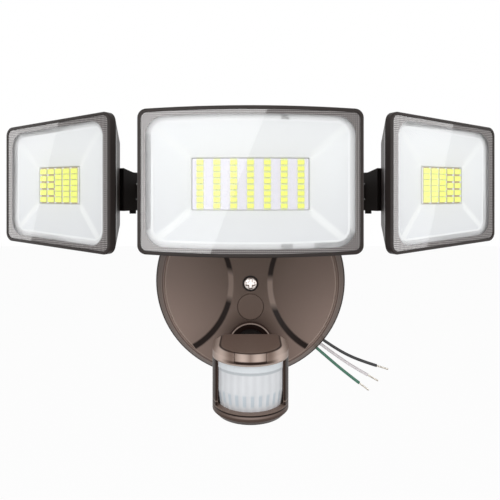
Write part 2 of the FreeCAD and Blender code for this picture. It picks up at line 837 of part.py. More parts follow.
LEAD_ROUTES = {
    "black_lead": [(6.0, -5.4, -16.0), (27.0, -4.4, -24.8), (45.5, -1.7, -38.3),
                   (61.5, -1.55, -48.9), (74.0, -1.55, -54.4), (84.3, -1.55, -57.6)],
    "white_lead": [(2.0, -5.4, -19.2), (24.5, -4.4, -27.6), (43.0, -1.7, -40.1),
                   (56.5, -1.55, -50.2), (68.5, -1.55, -58.3), (78.3, -1.55, -63.8)],
    "green_lead": [(-2.5, -5.4, -21.6), (21.5, -4.4, -29.9), (40.0, -1.7, -42.0),
                   (51.0, -1.55, -51.6), (62.0, -1.55, -61.0), (72.6, -1.55, -69.1)],
}
for number, (name, route) in enumerate(LEAD_ROUTES.items()):
    across = value(grommet_x) + (1 - number) * value("lead_pitch")
    start = Vector(across, value(grommet_y), value(f"{case_bottom} - grommet_length"))
    bend = start - Vector(0, 0, value("lead_drop") + number * value("lead_pitch"))
    points = [start, bend] + [Vector(*point) for point in route]
    runs = [(after - before).Length for before, after in zip(points, points[1:])]
    path = []
    here = points[0]
    radii = []
    for before, corner, after in zip(points, points[1:], points[2:]):
        incoming = (corner - before).normalize()
        outgoing = (after - corner).normalize()
        half_turn = incoming.getAngle(outgoing) / 2
        reach = 0.45 * min((corner - before).Length, (after - corner).Length)
        radii.append(reach / math.tan(half_turn))
        enter = corner - incoming * reach
        leave = corner + outgoing * reach
        middle = corner + (outgoing - incoming).normalize() * (radii[-1] / math.cos(half_turn) - radii[-1])
        path.append(Part.LineSegment(here, enter).toShape())
        path.append(Part.Arc(enter, middle, leave).toShape())
        here = leave
    path.append(Part.LineSegment(here, points[-1]).toShape())
    wire = Part.Wire(path)
    heading = (points[1] - points[0]).normalize()
    ring = Part.Wire([Part.Circle(points[0], heading, value("lead_diameter / 2")).toShape()])
    tube = wire.makePipeShell([ring], True, False)
    expected = math.pi * value("lead_diameter / 2") ** 2 * wire.Length
    print(name, "length", round(wire.Length, 1), "runs", [round(run, 1) for run in runs],
          "radii", [round(radius, 1) for radius in radii], "volume ratio", round(tube.Volume / expected, 4))
    lead = doc.addObject("Part::Feature", name + "_tube")
    lead.Shape = tube
    keep(lead, name)
    ending = (points[-1] - points[-2]).normalize()
    tip = doc.addObject("Part::Cylinder", name + "_bare")
    bind(tip, Radius="lead_tip_diameter / 2", Height="lead_tip_length")
    tip.Placement = Placement(points[-1], Rotation(Vector(0, 0, 1), ending))
    keep(tip, name + "_tip")


# ---- lamp heads ----


def lamp_head(name, kind, spot, turn, tilt_side):
    """The housing, seal, lens, reflector, board and chips of one head.

    Each is built about the centre of the head's front face and then set down at the spot.
    The tilt side is +1 or -1 on a side head, whose lower end points outwards, and 0 on the main head.
    """

    def outline(body, inset, offset, corner=None, window=False, shrink="0"):
        sketch = sketch_on(body, "XZ_Plane", offset)
        if kind == "main":
            width = f"main_width - 2 * ({'main_border' if window else inset})"
            left = right = "main_side_height - " + ("main_window_drop" if window else f"2 * ({inset})")
            bow = f"main_bow * ({width} - 2 * ({shrink})) ^ 2 / main_width ^ 2"
            round_off = "main_window_corner" if window else f"main_corner - ({inset}) * 0.8"
        else:
            width = f"side_width - 2 * ({'side_border' if window else inset})"
            inner = "side_inner_height - side_window_drop" if window else f"side_inner_height - 2 * ({inset})"
            outer = "side_outer_height - side_window_drop" if window else f"side_outer_height - 2 * ({inset})"
            left, right = (inner, outer) if tilt_side > 0 else (outer, inner)
            bow = None
            round_off = "side_window_corner" if window else f"side_corner - ({inset}) * 0.8"
        if shrink != "0":
            width = f"{width} - 2 * ({shrink})"
            left = f"{left} - 2 * ({shrink})"
            right = f"{right} - 2 * ({shrink})"
            round_off = f"{round_off} - ({shrink}) * 0.8"
        return panel(sketch, width, left, right, corner or round_off, bow)

    def set_down(thing, label):
        place(thing, *spot, turn)
        keep(thing, f"{name}_{label}")

    # the LED field sits below the middle of the window, and on a side head towards its outer end
    field_across = f"{tilt_side} * {kind}_field_shift"
    field_up = f"-{kind}_field_drop"

    def field_sketch(body, offset):
        return sketch_on(body, "XZ_Plane", offset, field_across, field_up)

    # housing: an upright rim, a back that narrows to a flat plate, and cooling fins
    housing = new_body(f"{name}_housing")
    pad(housing, outline(housing, "0", "-head_wall_depth"), "head_wall_depth")
    dressed(housing, "Chamfer", "rim_chamfer", lambda edge: edge.BoundBox.YMin > -1e-6)
    full = outline(housing, "0", "-head_wall_depth")
    back = sketch_on(housing, "XZ_Plane", "-head_depth")
    height = "main_side_height" if kind == "main" else "side_inner_height"
    back_width = f"{kind}_width - 2 * head_back_inset"
    back_height = f"{height} - 2 * head_back_drop"
    bow = "main_bow / 4" if kind == "main" else None
    panel(back, back_width, back_height, back_height, "head_back_corner", bow)
    lofted(housing, [full, back])
    for number in FINS[kind]:
        fin = sketch_on(housing, "XZ_Plane", "-head_depth")
        rectangle(
            fin,
            "fin_thick",
            f"{back_height} - 2 * fin_margin",
            f"{tilt_side or 1} * {number} * fin_pitch",
        )
        pad(housing, fin, "fin_height", reverse=True)
    pocket_lip = outline(housing, "rim_width", "0")
    lens_back = "lens_recess + lens_thick + seal_height"
    pocket(housing, pocket_lip, lens_back)
    room = outline(housing, "0", f"-({lens_back})", window=True)
    pocket(housing, room, "field_depth + board_thick - (lens_recess + lens_thick + seal_height)")
    well = field_sketch(housing, "-(field_depth + board_thick)")
    rectangle(well, f"{kind}_field_width", f"{kind}_field_height")
    pocket(housing, well, "head_depth - housing_floor - field_depth - board_thick")
    set_down(housing, "housing")

    seal = new_body(f"{name}_seal")
    pad(
        seal,
        outline(seal, "rim_width + lens_gap", "-(lens_recess + lens_thick + seal_height)"),
        "seal_height",
    )
    pocket(
        seal,
        outline(seal, "0", "-(lens_recess + lens_thick)", window=True, shrink="lens_gap"),
        "seal_height",
    )
    set_down(seal, "seal")

    lens = new_body(f"{name}_lens")
    pad(lens, outline(lens, "rim_width + lens_gap", "-(lens_recess + lens_thick)"), "lens_thick")
    set_down(lens, "lens")

    # reflector: a flat lip under the lens, then four walls that slope in to the LED field
    reflector = new_body(f"{name}_reflector")
    lip_back = "-(lens_recess + lens_thick + reflector_lip_thick)"
    pad(
        reflector,
        outline(reflector, "0", lip_back, window=True, shrink="2 * lens_gap"),
        "reflector_lip_thick",
    )
    outer_top = outline(reflector, "0", lip_back, window=True, shrink="reflector_lip - reflector_wall")
    outer_low = field_sketch(reflector, "-field_depth")
    panel(
        outer_low,
        f"{kind}_field_width + 2 * reflector_wall",
        f"{kind}_field_height + 2 * reflector_wall",
        f"{kind}_field_height + 2 * reflector_wall",
        "reflector_wall",
        "main_bow / 20" if kind == "main" else None,
    )
    lofted(reflector, [outer_top, outer_low])
    mouth = outline(reflector, "0", "-(lens_recess + lens_thick)", window=True, shrink="reflector_lip")
    floor = field_sketch(reflector, "-field_depth")
    panel(
        floor,
        f"{kind}_field_width",
        f"{kind}_field_height",
        f"{kind}_field_height",
        "reflector_wall / 2",
        "main_bow / 20" if kind == "main" else None,
    )
    lofted(reflector, [mouth, floor], "SubtractiveLoft")
    set_down(reflector, "reflector")

    board = new_body(f"{name}_led_board")
    plate = field_sketch(board, "-(field_depth + board_thick)")
    rectangle(
        plate, f"{kind}_field_width + 2 * led_board_margin", f"{kind}_field_height + 2 * led_board_margin"
    )
    pad(board, plate, "board_thick")
    set_down(board, "led_board")

    # LED chips: seven columns of eight on the main head, and on a side head three columns of six
    # and, on the outer side, two of five
    chips = []
    columns = MAIN_COLUMN_COUNT if kind == "main" else SIDE_COLUMN_COUNT
    full_rows = MAIN_ROW_COUNT if kind == "main" else SIDE_ROW_COUNT
    wide, tall = value(f"{kind}_chip_width"), value(f"{kind}_chip_height")
    for column in range(columns):
        outer_column = kind == "side" and column * tilt_side > 2 * tilt_side
        rows = SIDE_SHORT_ROW_COUNT if outer_column else full_rows
        span = value(f"{kind}_row_pitch") * (full_rows - 1)
        pitch = span / (rows - 1)
        across = (column - (columns - 1) / 2) * value(f"{kind}_column_pitch") + value(field_across)
        for row in range(rows):
            low = Vector(
                across - wide / 2,
                value("field_depth - chip_height"),
                row * pitch - span / 2 - tall / 2 + value(field_up),
            )
            chips.append(Part.makeBox(wide, value("chip_height"), tall, low))
    leds = doc.addObject("Part::Feature", f"{name}_led_group")
    leds.Shape = Part.makeCompound(chips)
    set_down(leds, "leds")


FACING = Rotation()
main_front = "(tilt_pin_depth + main_reach + head_depth)"
lamp_head("main", "main", ("0", f"-{main_front}", "main_height"), FACING, 0)
for side, name in ((-1, "left"), (1, "right")):
    pan = Rotation(Vector(0, 0, 1), side * value("side_pan"))
    lamp_head(name, "side", (f"{side} * side_offset", "-side_front_depth", "side_height"), pan, side)

# ---- yoke of the main head: a plate on the housing's back and a tongue between the hub's ears ----

yoke_plate = block("yoke_plate", "yoke_base_size", "yoke_base_thick", "yoke_base_size",
                   y="-tilt_pin_depth - main_reach", z="arm_height")
yoke_tongue = block("yoke_tongue", "yoke_base_size / 2", "main_reach", "2 * ear_radius",
                    y="-tilt_pin_depth - main_reach", z="arm_height")
yoke_end = cylinder(
    "yoke_end",
    "ear_radius",
    "yoke_base_size / 2",
    x="-yoke_base_size / 4",
    y="-tilt_pin_depth",
    z="arm_height",
    turn=RIGHTWARD,
)
yoke_way = cylinder(
    "yoke_way",
    "tilt_pin_radius + pin_clearance",
    "yoke_base_size / 2",
    x="-yoke_base_size / 4",
    y="-tilt_pin_depth",
    z="arm_height",
    turn=RIGHTWARD,
)
keep(without("yoke_cut", fused("yoke_blank", yoke_plate, yoke_tongue, yoke_end), yoke_way), "main_yoke")

# ---- arms: a spigot in the hub, a collar, a tube and the knuckle's eye ----

knuckle_middle = "arm_height - knuckle_drop"
for side, name in ((-1, "left"), (1, "right")):
    turn = Rotation(Vector(0, 1, 0), side * 90)
    hub_end = f"{side} * hub_tube_length / 2"
    spigot = cylinder("arm_spigot", "arm_spigot_radius", "arm_seat_length",
                      x=f"{side} * (hub_tube_length / 2 - arm_seat_length + turn_clearance)",
                      y="-arm_depth", z="arm_height", turn=turn)
    collar = cylinder(
        "arm_collar",
        "arm_collar_radius",
        "arm_collar_length",
        x=f"{side} * (hub_tube_length / 2 + turn_clearance)",
        y="-arm_depth",
        z="arm_height",
        turn=turn,
    )
    tube = cylinder(
        "arm_tube",
        "arm_radius",
        "knuckle_offset - knuckle_radius - hub_tube_length / 2 - turn_clearance - 3",
        x=f"{side} * (hub_tube_length / 2 + turn_clearance)",
        y="-arm_depth",
        z="arm_height",
        turn=turn,
    )
    tongue = block(
        "arm_tongue",
        "knuckle_radius + 4",
        "2 * arm_radius * 0.8",
        "eye_height",
        x=f"{side} * (knuckle_offset - knuckle_radius / 2 - 2)",
        y="-arm_depth - arm_radius * 0.8",
        z=knuckle_middle,
    )
    eye = cylinder("arm_eye", "knuckle_radius", "eye_height", x=f"{side} * knuckle_offset", y="-arm_depth",
                   z=f"{knuckle_middle} - eye_height / 2", turn=UPWARD)
    eye_way = cylinder(
        "arm_eye_way",
        "pan_bolt_radius + pin_clearance",
        "eye_height",
        x=f"{side} * knuckle_offset",
        y="-arm_depth",
        z=f"{knuckle_middle} - eye_height / 2",
        turn=UPWARD,
    )
    keep(without(name + "_arm_cut", fused(name + "_arm_blank", spigot, collar, tube, tongue, eye), eye_way),
         name + "_arm")

    # bracket: a foot on the housing's back that narrows to a fork of two round ears
    across = "(knuckle_offset - side_offset) * cos(side_pan) + (side_front_depth - arm_depth) * sin(side_pan)"
    pivot_back = (
        "(side_front_depth - arm_depth) * cos(side_pan) - (knuckle_offset - side_offset) * sin(side_pan)"
    )
    level = f"{knuckle_middle} - side_height"
    plan_low = f"{level} - knuckle_height / 2"
    plan = new_body(name + "_bracket_plan")
    foot = sketch_on(plan, "XY_Plane", plan_low)
    polygon(
        foot,
        [
            (f"{side} * ({across} - knuckle_radius)", "head_depth"),
            (f"{side} * ({across} - knuckle_radius)", pivot_back),
            (f"{side} * ({across} + knuckle_radius)", pivot_back),
            (f"{side} * ({across} + knuckle_radius + bracket_flare)", "head_depth"),
        ],
    )
    pad(plan, foot, "knuckle_height + bracket_rise")
    ear_round = sketch_on(plan, "XY_Plane", plan_low)
    circle(ear_round, "knuckle_radius", f"{side} * ({across})", pivot_back)
    pad(plan, ear_round, "knuckle_height + bracket_rise")
    profile = new_body(name + "_bracket_profile")
    flank = sketch_on(profile, "YZ_Plane", "-side_width / 2")
    ear_front = f"{pivot_back} - knuckle_radius"
    ear_back = f"{pivot_back} + knuckle_radius + 1"
    polygon(
        flank,
        [
            ("head_depth", plan_low),
            (ear_back, plan_low),
            (ear_back, f"{level} + knuckle_height / 2"),
            (ear_front, f"{level} + knuckle_height / 2"),
            ("head_depth", f"{level} + knuckle_height / 2 + bracket_rise"),
        ],
    )
    pad(profile, flank, "side_width")
    bracket = common(name + "_bracket_blank", plan, profile)
    spot = (f"{side} * side_offset", "-side_front_depth", "side_height")
    place(bracket, *spot, Rotation(Vector(0, 0, 1), side * value("side_pan")))
    fork_gap = cylinder(
        "fork_gap",
        "knuckle_radius + 2 * turn_clearance + 1",
        "eye_height + 2 * turn_clearance",
        x=f"{side} * knuckle_offset",
        y="-arm_depth",
        z=f"{knuckle_middle} - eye_height / 2 - turn_clearance",
        turn=UPWARD,
    )
    ear_top = f"{knuckle_middle} + knuckle_height / 2"
    fork_way = cylinder("fork_way", "pan_bolt_radius + thread_clearance", "knuckle_height + 2",
                        f"{side} * knuckle_offset", "-arm_depth", f"{ear_top} - knuckle_height - 1", UPWARD)
    head_way = cylinder("fork_head_way", "pan_head_radius + plug_gap", "pan_head_height + 1",
                        f"{side} * knuckle_offset", "-arm_depth", f"{ear_top} - pan_head_height", UPWARD)
    keep(without(name + "_bracket_cut", bracket, fork_gap, fork_way, head_way), name + "_bracket")

    shank = cylinder(
        name + "_pan_shank",
        "pan_bolt_radius",
        "knuckle_height + pan_bolt_tip - pan_head_height",
        f"{side} * knuckle_offset",
        "-arm_depth",
        f"{ear_top} - knuckle_height - pan_bolt_tip",
        UPWARD,
    )
    head = cylinder(name + "_pan_head", "pan_head_radius", "pan_head_height - plug_gap",
                    f"{side} * knuckle_offset", "-arm_depth", f"{ear_top} - pan_head_height", UPWARD)
    keep(fused(name + "_pan_bolt_joined", shank, head), name + "_pan_bolt")

# ---- sensor arm in its ball socket ----

collar = new_body("sensor_collar")
section = sketch_on(collar, "YZ_Plane")
seat_radius = "ball_radius + turn_clearance"
collar_front = f"({band_depth} + collar_flange_thick)"
polygon(
    section,
    [
        (f"-{collar_front} + collar_flange_thick / 2", "collar_mouth_radius"),
        (f"-{collar_front}", "collar_flange_radius - collar_rim"),
        (f"-{collar_front}", "collar_flange_radius - plug_bevel"),
        (f"-{collar_front} + plug_bevel", "collar_flange_radius"),
        (f"-({band_depth})", "collar_flange_radius"),
        (f"-({band_depth})", "collar_radius"),
        (f"-{collar_front} + collar_length", "collar_radius"),
        (f"-{collar_front} + collar_length", seat_radius),
        ("-ball_depth - ball_radius * 0.2", seat_radius),
        (f"-{collar_front} + collar_flange_thick", "collar_mouth_radius"),
    ],
)
turned(collar, section, "H_Axis")
place(collar, z="socket_height")
keep(collar, "sensor_collar")

nut_y = "canopy_wall - face_depth + collar_nut_thick"
keep(
    without(
        "collar_nut_cut",
        cylinder("collar_nut_blank", "collar_nut_radius", "collar_nut_thick", y=nut_y, z="socket_height"),
        cylinder(
            "collar_nut_bore",
            "collar_radius + thread_clearance",
            "collar_nut_thick",
            y=nut_y,
            z="socket_height",
        ),
    ),
    "sensor_collar_nut",
)

arm_ball = ball("arm_ball", "ball_radius", y="-ball_depth", z="socket_height")
ball_back = block(
    "ball_back",
    "2 * ball_radius",
    "ball_radius",
    "2 * ball_radius",
    y="-ball_depth + ball_radius / 2",
    z="socket_height",
)
arm_neck = cylinder(
    "arm_neck",
    "sensor_neck_radius",
    "sensor_pivot_depth - sensor_ear_radius - ball_depth - 1",
    y="-ball_depth",
    z="socket_height",
)
arm_eye = cylinder(
    "sensor_arm_eye",
    "sensor_ear_radius",
    "sensor_tongue_thick",
    x="-sensor_tongue_thick / 2",
    y="-sensor_pivot_depth",
    z="socket_height",
    turn=RIGHTWARD,
)
arm_tongue = block(
    "sensor_arm_tongue",
    "sensor_tongue_thick",
    "sensor_ear_radius + 3",
    "2 * sensor_ear_radius",
    y="-sensor_pivot_depth",
    z="socket_height",
)
arm_pin_way = cylinder(
    "arm_pin_way",
    "sensor_pin_radius + pin_clearance",
    "sensor_tongue_thick",
    x="-sensor_tongue_thick / 2",
    y="-sensor_pivot_depth",
    z="socket_height",
    turn=RIGHTWARD,
)
arm_bore = cylinder(
    "arm_bore",
    "sensor_bore_radius",
    "sensor_pivot_depth - sensor_ear_radius - ball_depth - 4",
    y="0",
    z="socket_height",
)
keep(
    without("sensor_arm_cut", fused("sensor_arm_blank", arm_ball, arm_neck, arm_eye, arm_tongue), ball_back,
            arm_pin_way, arm_bore),
    "sensor_arm",
)

pin_reach = "sensor_tongue_thick / 2 + turn_clearance + sensor_ear_thick"
keep(
    cylinder(
        "sensor_pin",
        "sensor_pin_radius",
        f"2 * ({pin_reach})",
        x=f"-({pin_reach})",
        y="-sensor_pivot_depth",
        z="socket_height",
        turn=RIGHTWARD,
    ),
    "sensor_tilt_pin",
)


# ---- sensor housing: U-shaped in plan, with a flat back ----

sensor_front = "(sensor_back_depth + sensor_length)"
sensor_centre = f"-({sensor_front} - sensor_radius)"


def horseshoe(sketch, radius, back_depth="sensor_back_depth", chamfer="sensor_back_chamfer", forward="0"):
    """A half round front, straight sides and a flat back with bevelled corners."""
    wide = value(radius)
    nose_centre = f"{sensor_centre} - ({forward})"
    centre = value(nose_centre)
    back = -value(back_depth)
    cut = value(chamfer)
    right, right_low = Vector(wide, centre, 0), Vector(wide, back - cut, 0)
    points = [
        right,
        right_low,
        Vector(wide - cut, back, 0),
        Vector(cut - wide, back, 0),
        Vector(-wide, back - cut, 0),
        Vector(-wide, centre, 0),
    ]
    lines = [Part.LineSegment(start, end) for start, end in zip(points, points[1:])]
    nose = Part.ArcOfCircle(Part.Circle(Vector(0, centre, 0), Vector(0, 0, 1), wide), math.pi, 2 * math.pi)
    first = sketch.GeometryCount
    sketch.addGeometry(lines + [nose])
    for number in range(len(lines) - 1):
        sketch.addConstraint(Sketcher.Constraint("Coincident", first + number, 2, first + number + 1, 1))
    arc = first + len(lines)
    sketch.addConstraint(Sketcher.Constraint("Tangent", first + len(lines) - 1, 2, arc, 1))
    sketch.addConstraint(Sketcher.Constraint("Tangent", arc, 2, first, 1))
    sketch.addConstraint(Sketcher.Constraint("Vertical", first))
    sketch.addConstraint(Sketcher.Constraint("Vertical", first + 4))
    dimension(sketch, "Radius", [arc], radius)
    dimension(sketch, "DistanceX", [-1, 1, arc, 3], "0")
    dimension(sketch, "DistanceY", [-1, 1, arc, 3], nose_centre)
    for corner, side in ((1, 1), (2, 1), (3, -1), (4, -1)):
        inward = corner in (2, 3)
        level = f"-({back_depth})" if inward else f"-({back_depth}) - ({chamfer})"
        dimension(sketch, "DistanceY", [-1, 1, first + corner, 1], level)
        if inward:
            dimension(
                sketch, "DistanceX", [-1, 1, first + corner, 1], f"{side} * (({radius}) - ({chamfer}))"
            )
    return sketch


screw_row = "-sensor_back_depth - sensor_screw_inset"
cap_low = "sensor_top - sensor_cap_height"
lens_low = f"{cap_low} - sensor_lens_height"
base_low = f"{lens_low} - sensor_base_height"


def cap_form(name, sink):
    """The cap's lid with its sloping edge, drawn in all round by the sink."""
    form = new_body(name)
    pad(form, horseshoe(sketch_on(form, "XY_Plane", cap_low), f"sensor_radius - {sink}"),
        "sensor_cap_height - sensor_cap_slope")
    edge_low = sketch_on(form, "XY_Plane", "sensor_top - sensor_cap_slope")
    edge_high = sketch_on(form, "XY_Plane", "sensor_top")
    lofted(
        form,
        [
            horseshoe(edge_low, f"sensor_radius - {sink}"),
            horseshoe(edge_high, f"sensor_radius - sensor_cap_bevel - {sink}",
                      chamfer="sensor_back_chamfer / 2", forward="sensor_cap_forward"),
        ],
    )
    return form


def clip_block(name, gap):
    """The space of the clip on the front of the cap, less a gap all round."""
    return block(name, f"clip_width - 2 * {gap}", f"clip_reach + 1 - {gap}", f"clip_height - 2 * {gap}",
                 y=f"-{sensor_front} - 1", z="sensor_top - clip_height / 2 - sensor_cap_slope * 0.2")


keep(
    without("sensor_cap_cut", cap_form("sensor_cap_blank", "0"), clip_block("clip_room", "0")), "sensor_cap"
)
keep(
    common("clip_cut", clip_block("clip_space", "plug_gap"), cap_form("clip_form", "clip_sink")),
    "sensor_clip",
)

# shell: the back wall and the two upright bars at the sides of the lens
body_shell = new_body("sensor_shell_blank")
pad(
    body_shell,
    horseshoe(sketch_on(body_shell, "XY_Plane", lens_low), "sensor_radius"),
    "sensor_lens_height",
)
hollow = horseshoe(sketch_on(body_shell, "XY_Plane", cap_low), "sensor_radius - sensor_wall",
                   "sensor_back_depth + sensor_wall")
pocket(body_shell, hollow, "sensor_lens_height")
lens_opening = new_body("sensor_lens_opening")
bar_edge = "(sensor_radius - sensor_bar_width)"
bar_front = f"{sensor_centre} - sqrt(sensor_radius ^ 2 - {bar_edge} ^ 2)"
polygon(
    sketch_on(lens_opening, "XY_Plane", lens_low),
    [
        (f"sensor_bar_bevel - {bar_edge}", sensor_centre),
        (f"{bar_edge} - sensor_bar_bevel", sensor_centre),
        (f"{bar_edge} - sensor_bar_bevel", f"{bar_front} + sensor_bar_bevel / 4"),
        (bar_edge, bar_front),
        (bar_edge, f"-{sensor_front} - 1"),
        (f"-{bar_edge}", f"-{sensor_front} - 1"),
        (f"-{bar_edge}", bar_front),
        (f"sensor_bar_bevel - {bar_edge}", f"{bar_front} + sensor_bar_bevel / 4"),
    ],
)
pad(lens_opening, lens_opening.Group[-1], "sensor_lens_height")
shell_ears = []
for side in (-1, 1):
    shift = f"{side} * (sensor_tongue_thick / 2 + turn_clearance + sensor_ear_thick / 2)"
    shell_ears.append(
        cylinder("shell_ear", "sensor_ear_radius", "sensor_ear_thick", x=f"{shift} - sensor_ear_thick / 2",
                 y="-sensor_pivot_depth", z="socket_height", turn=RIGHTWARD)
    )
    shell_ears.append(
        block(
            "shell_ear_web",
            "sensor_ear_thick",
            "sensor_back_depth - sensor_pivot_depth + sensor_wall / 2",
            "2 * sensor_ear_radius",
            x=shift,
            y="-sensor_back_depth - sensor_wall / 2",
            z="socket_height",
        ),
    )
for side in (-1, 1):
    shell_ears.append(
        cylinder(
            "shell_post",
            "sensor_post_radius",
            "sensor_post_height",
            f"{side} * sensor_screw_spread / 2",
            screw_row,
            lens_low,
            UPWARD,
        ),
    )
post_ways = [
    cylinder(
        "post_way",
        "sensor_screw_radius + thread_clearance",
        "sensor_post_height",
        f"{side} * sensor_screw_spread / 2",
        screw_row,
        lens_low,
        UPWARD,
    )
    for side in (-1, 1)
]
shell_way = cylinder("shell_pin_way", "sensor_pin_radius + thread_clearance", f"2 * ({pin_reach})",
                     x=f"-({pin_reach})", y="-sensor_pivot_depth", z="socket_height", turn=RIGHTWARD)
keep(
    without(
        "sensor_shell_cut",
        fused("sensor_shell_joined", body_shell, *shell_ears),
        lens_opening,
        shell_way,
        *post_ways,
    ),
    "sensor_shell",
)


# Fresnel lens: flat facets round the front, in three tiers, the lowest drawn in at its foot
def facet_points(radius):
    """The corners of half a regular polygon that opens towards the back."""
    return [
        (f"({radius}) * {math.cos(math.pi + math.pi * step / LENS_FACET_COUNT):.9f}",
         f"{sensor_centre} + ({radius}) * {math.sin(math.pi + math.pi * step / LENS_FACET_COUNT):.9f}")
        for step in range(LENS_FACET_COUNT + 1)
    ]


def lens_section(body, radius, level):
    return polygon(sketch_on(body, "XY_Plane", level), facet_points(radius))


fresnel = new_body("fresnel_blank")
upper_level = f"{cap_low} - sensor_tier_height / 2"
lower_level = f"{lens_low} + sensor_tier_height"
pad(fresnel, lens_section(fresnel, "sensor_lens_radius", upper_level), "sensor_tier_height / 2")
pad(fresnel, lens_section(fresnel, "sensor_lens_radius - sensor_lens_thick / 3", lower_level),
    f"{upper_level} - ({lower_level})")
lofted(fresnel, [
    lens_section(fresnel, "sensor_lens_radius - sensor_lens_thick / 3", lower_level),
    lens_section(fresnel, "sensor_lens_radius - sensor_lens_taper", lens_low),
])
lofted(fresnel, [
    lens_section(fresnel, "sensor_lens_radius - sensor_lens_thick * 1.5", cap_low),
    lens_section(fresnel, "sensor_lens_radius - sensor_lens_thick * 1.5", lower_level),
], "SubtractiveLoft")
lofted(fresnel, [
    lens_section(fresnel, "sensor_lens_radius - sensor_lens_thick * 1.5", lower_level),
    lens_section(fresnel, "sensor_lens_radius - sensor_lens_taper - sensor_lens_thick", lens_low),
], "SubtractiveLoft")
keep(fresnel, "sensor_lens")

base = new_body("sensor_base_blank")
pad(base, horseshoe(sketch_on(base, "XY_Plane", lens_low), "sensor_radius"),
    "sensor_base_height - sensor_base_round", reverse=True)
round_high = horseshoe(sketch_on(base, "XY_Plane", f"{base_low} + sensor_base_round"), "sensor_radius")
round_low = horseshoe(sketch_on(base, "XY_Plane", base_low), "sensor_radius - sensor_base_round",
                      chamfer="sensor_back_chamfer / 2")
lofted(base, [round_high, round_low])
dial_ways = [
    cylinder("dial_way", "dial_radius + turn_clearance", "dial_height", x=f"{place_number} * dial_pitch",
             y="-sensor_back_depth - dial_row_inset", z=f"{base_low} - dial_proud", turn=UPWARD)
    for place_number in DIALS.values()
]
screw_ways = []
base_screws = []
for side in (-1, 1):
    across = f"{side} * sensor_screw_spread / 2"
    screw_ways.append(
        cylinder("base_screw_way", "sensor_screw_radius + plug_gap", "sensor_base_height", across,
                 screw_row, base_low, UPWARD)
    )
    screw_ways.append(
        cylinder(
            "base_head_way",
            "sensor_screw_head_radius + plug_gap",
            "sensor_screw_head_height + 0.2",
            across,
            screw_row,
            base_low,
            UPWARD,
        ),
    )
    screw_head = cylinder("base_screw_head", "sensor_screw_head_radius", "sensor_screw_head_height", across,
                          screw_row, f"{base_low} + 0.2", UPWARD)
    screw_shank = cylinder(
        "base_screw_shank",
        "sensor_screw_radius",
        "sensor_base_height + sensor_post_height - 1.2",
        across,
        screw_row,
        f"{base_low} + 0.2",
        UPWARD,
    )
    base_screws.append(fused("base_screw", screw_head, screw_shank))
keep(without("sensor_base_cut", base, *dial_ways, *screw_ways), "sensor_base")
screw_pair = doc.addObject("Part::Compound", "base_screw_pair")
screw_pair.Links = base_screws
keep(screw_pair, "sensor_screws")

for name, place_number in DIALS.items():
    knob = cylinder(
        name + "_knob",
        "dial_radius",
        "dial_height - turn_clearance",
        x=f"{place_number} * dial_pitch",
        y="-sensor_back_depth - dial_row_inset",
        z=f"{base_low} - dial_proud",
        turn=UPWARD,
    )
    slot = block(
        name + "_slot",
        "dial_radius * 1.5",
        "dial_radius * 0.3",
        "dial_proud",
        x=f"{place_number} * dial_pitch",
        y="-sensor_back_depth - dial_row_inset - dial_radius * 0.15",
        z=f"{base_low} - dial_proud / 2",
    )
    keep(without(name + "_cut", knob, slot), name)

board_y = f"{sensor_centre} + 2"
keep(
    block(
        "sensor_circuit",
        "sensor_screw_spread - 2 * sensor_post_radius - 1",
        "board_thick",
        "sensor_lens_height - 1",
        y=board_y,
        z=f"({cap_low} + ({lens_low})) / 2",
    ),
    "sensor_board",
)
keep(
    cylinder(
        "heat_element", "element_radius", "element_height", y=board_y, z=f"({cap_low} + ({lens_low})) / 2"
    ),
    "heat_sensor",
)

# ---- check every object, then write each piece ----

doc.recompute()
for thing in doc.Objects:
    if "Invalid" in thing.State or "Error" in thing.State:
        raise RuntimeError(f"{thing.Label} did not build: {thing.State}")
for name, thing in kept.items():
    if thing.Shape.isNull() or not thing.Shape.isValid() or thing.Shape.Volume <= 0:
        raise RuntimeError(f"{name} is not a sound solid")
os.makedirs("parts", exist_ok=True)
for name, thing in kept.items():
    thing.Shape.exportStep(f"parts/{name}.step")
print(len(kept), "pieces")
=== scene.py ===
import math

import bmesh
import bpy
from mathutils import Matrix, Vector


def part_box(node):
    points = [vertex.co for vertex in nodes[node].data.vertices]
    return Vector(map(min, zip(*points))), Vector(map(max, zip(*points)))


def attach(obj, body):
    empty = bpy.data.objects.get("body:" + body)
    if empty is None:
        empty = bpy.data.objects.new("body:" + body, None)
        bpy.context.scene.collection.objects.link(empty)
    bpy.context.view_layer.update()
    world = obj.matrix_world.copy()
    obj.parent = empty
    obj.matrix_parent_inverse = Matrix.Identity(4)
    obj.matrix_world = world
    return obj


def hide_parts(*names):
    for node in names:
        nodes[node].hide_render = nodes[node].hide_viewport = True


# Motion sensor security light: one wide lamp head between two smaller ones, a round bronze wall plate
# and a swivelling sensor below. Metres, +Z up, the lamps face -Y, the wall is the plane y = 0.

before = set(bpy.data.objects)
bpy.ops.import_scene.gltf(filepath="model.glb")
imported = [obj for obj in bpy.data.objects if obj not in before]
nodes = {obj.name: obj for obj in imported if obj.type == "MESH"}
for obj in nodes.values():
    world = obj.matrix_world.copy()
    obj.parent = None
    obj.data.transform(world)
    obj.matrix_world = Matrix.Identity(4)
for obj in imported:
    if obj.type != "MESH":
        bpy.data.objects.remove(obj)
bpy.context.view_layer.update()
MM = 0.001

# ---- camera and studio ----
# A level camera at the height of the arms, a third of a metre in front of the wall, framed low so that
# the plate and the sensor are in view. Pale floor, white surround and soft lamps.

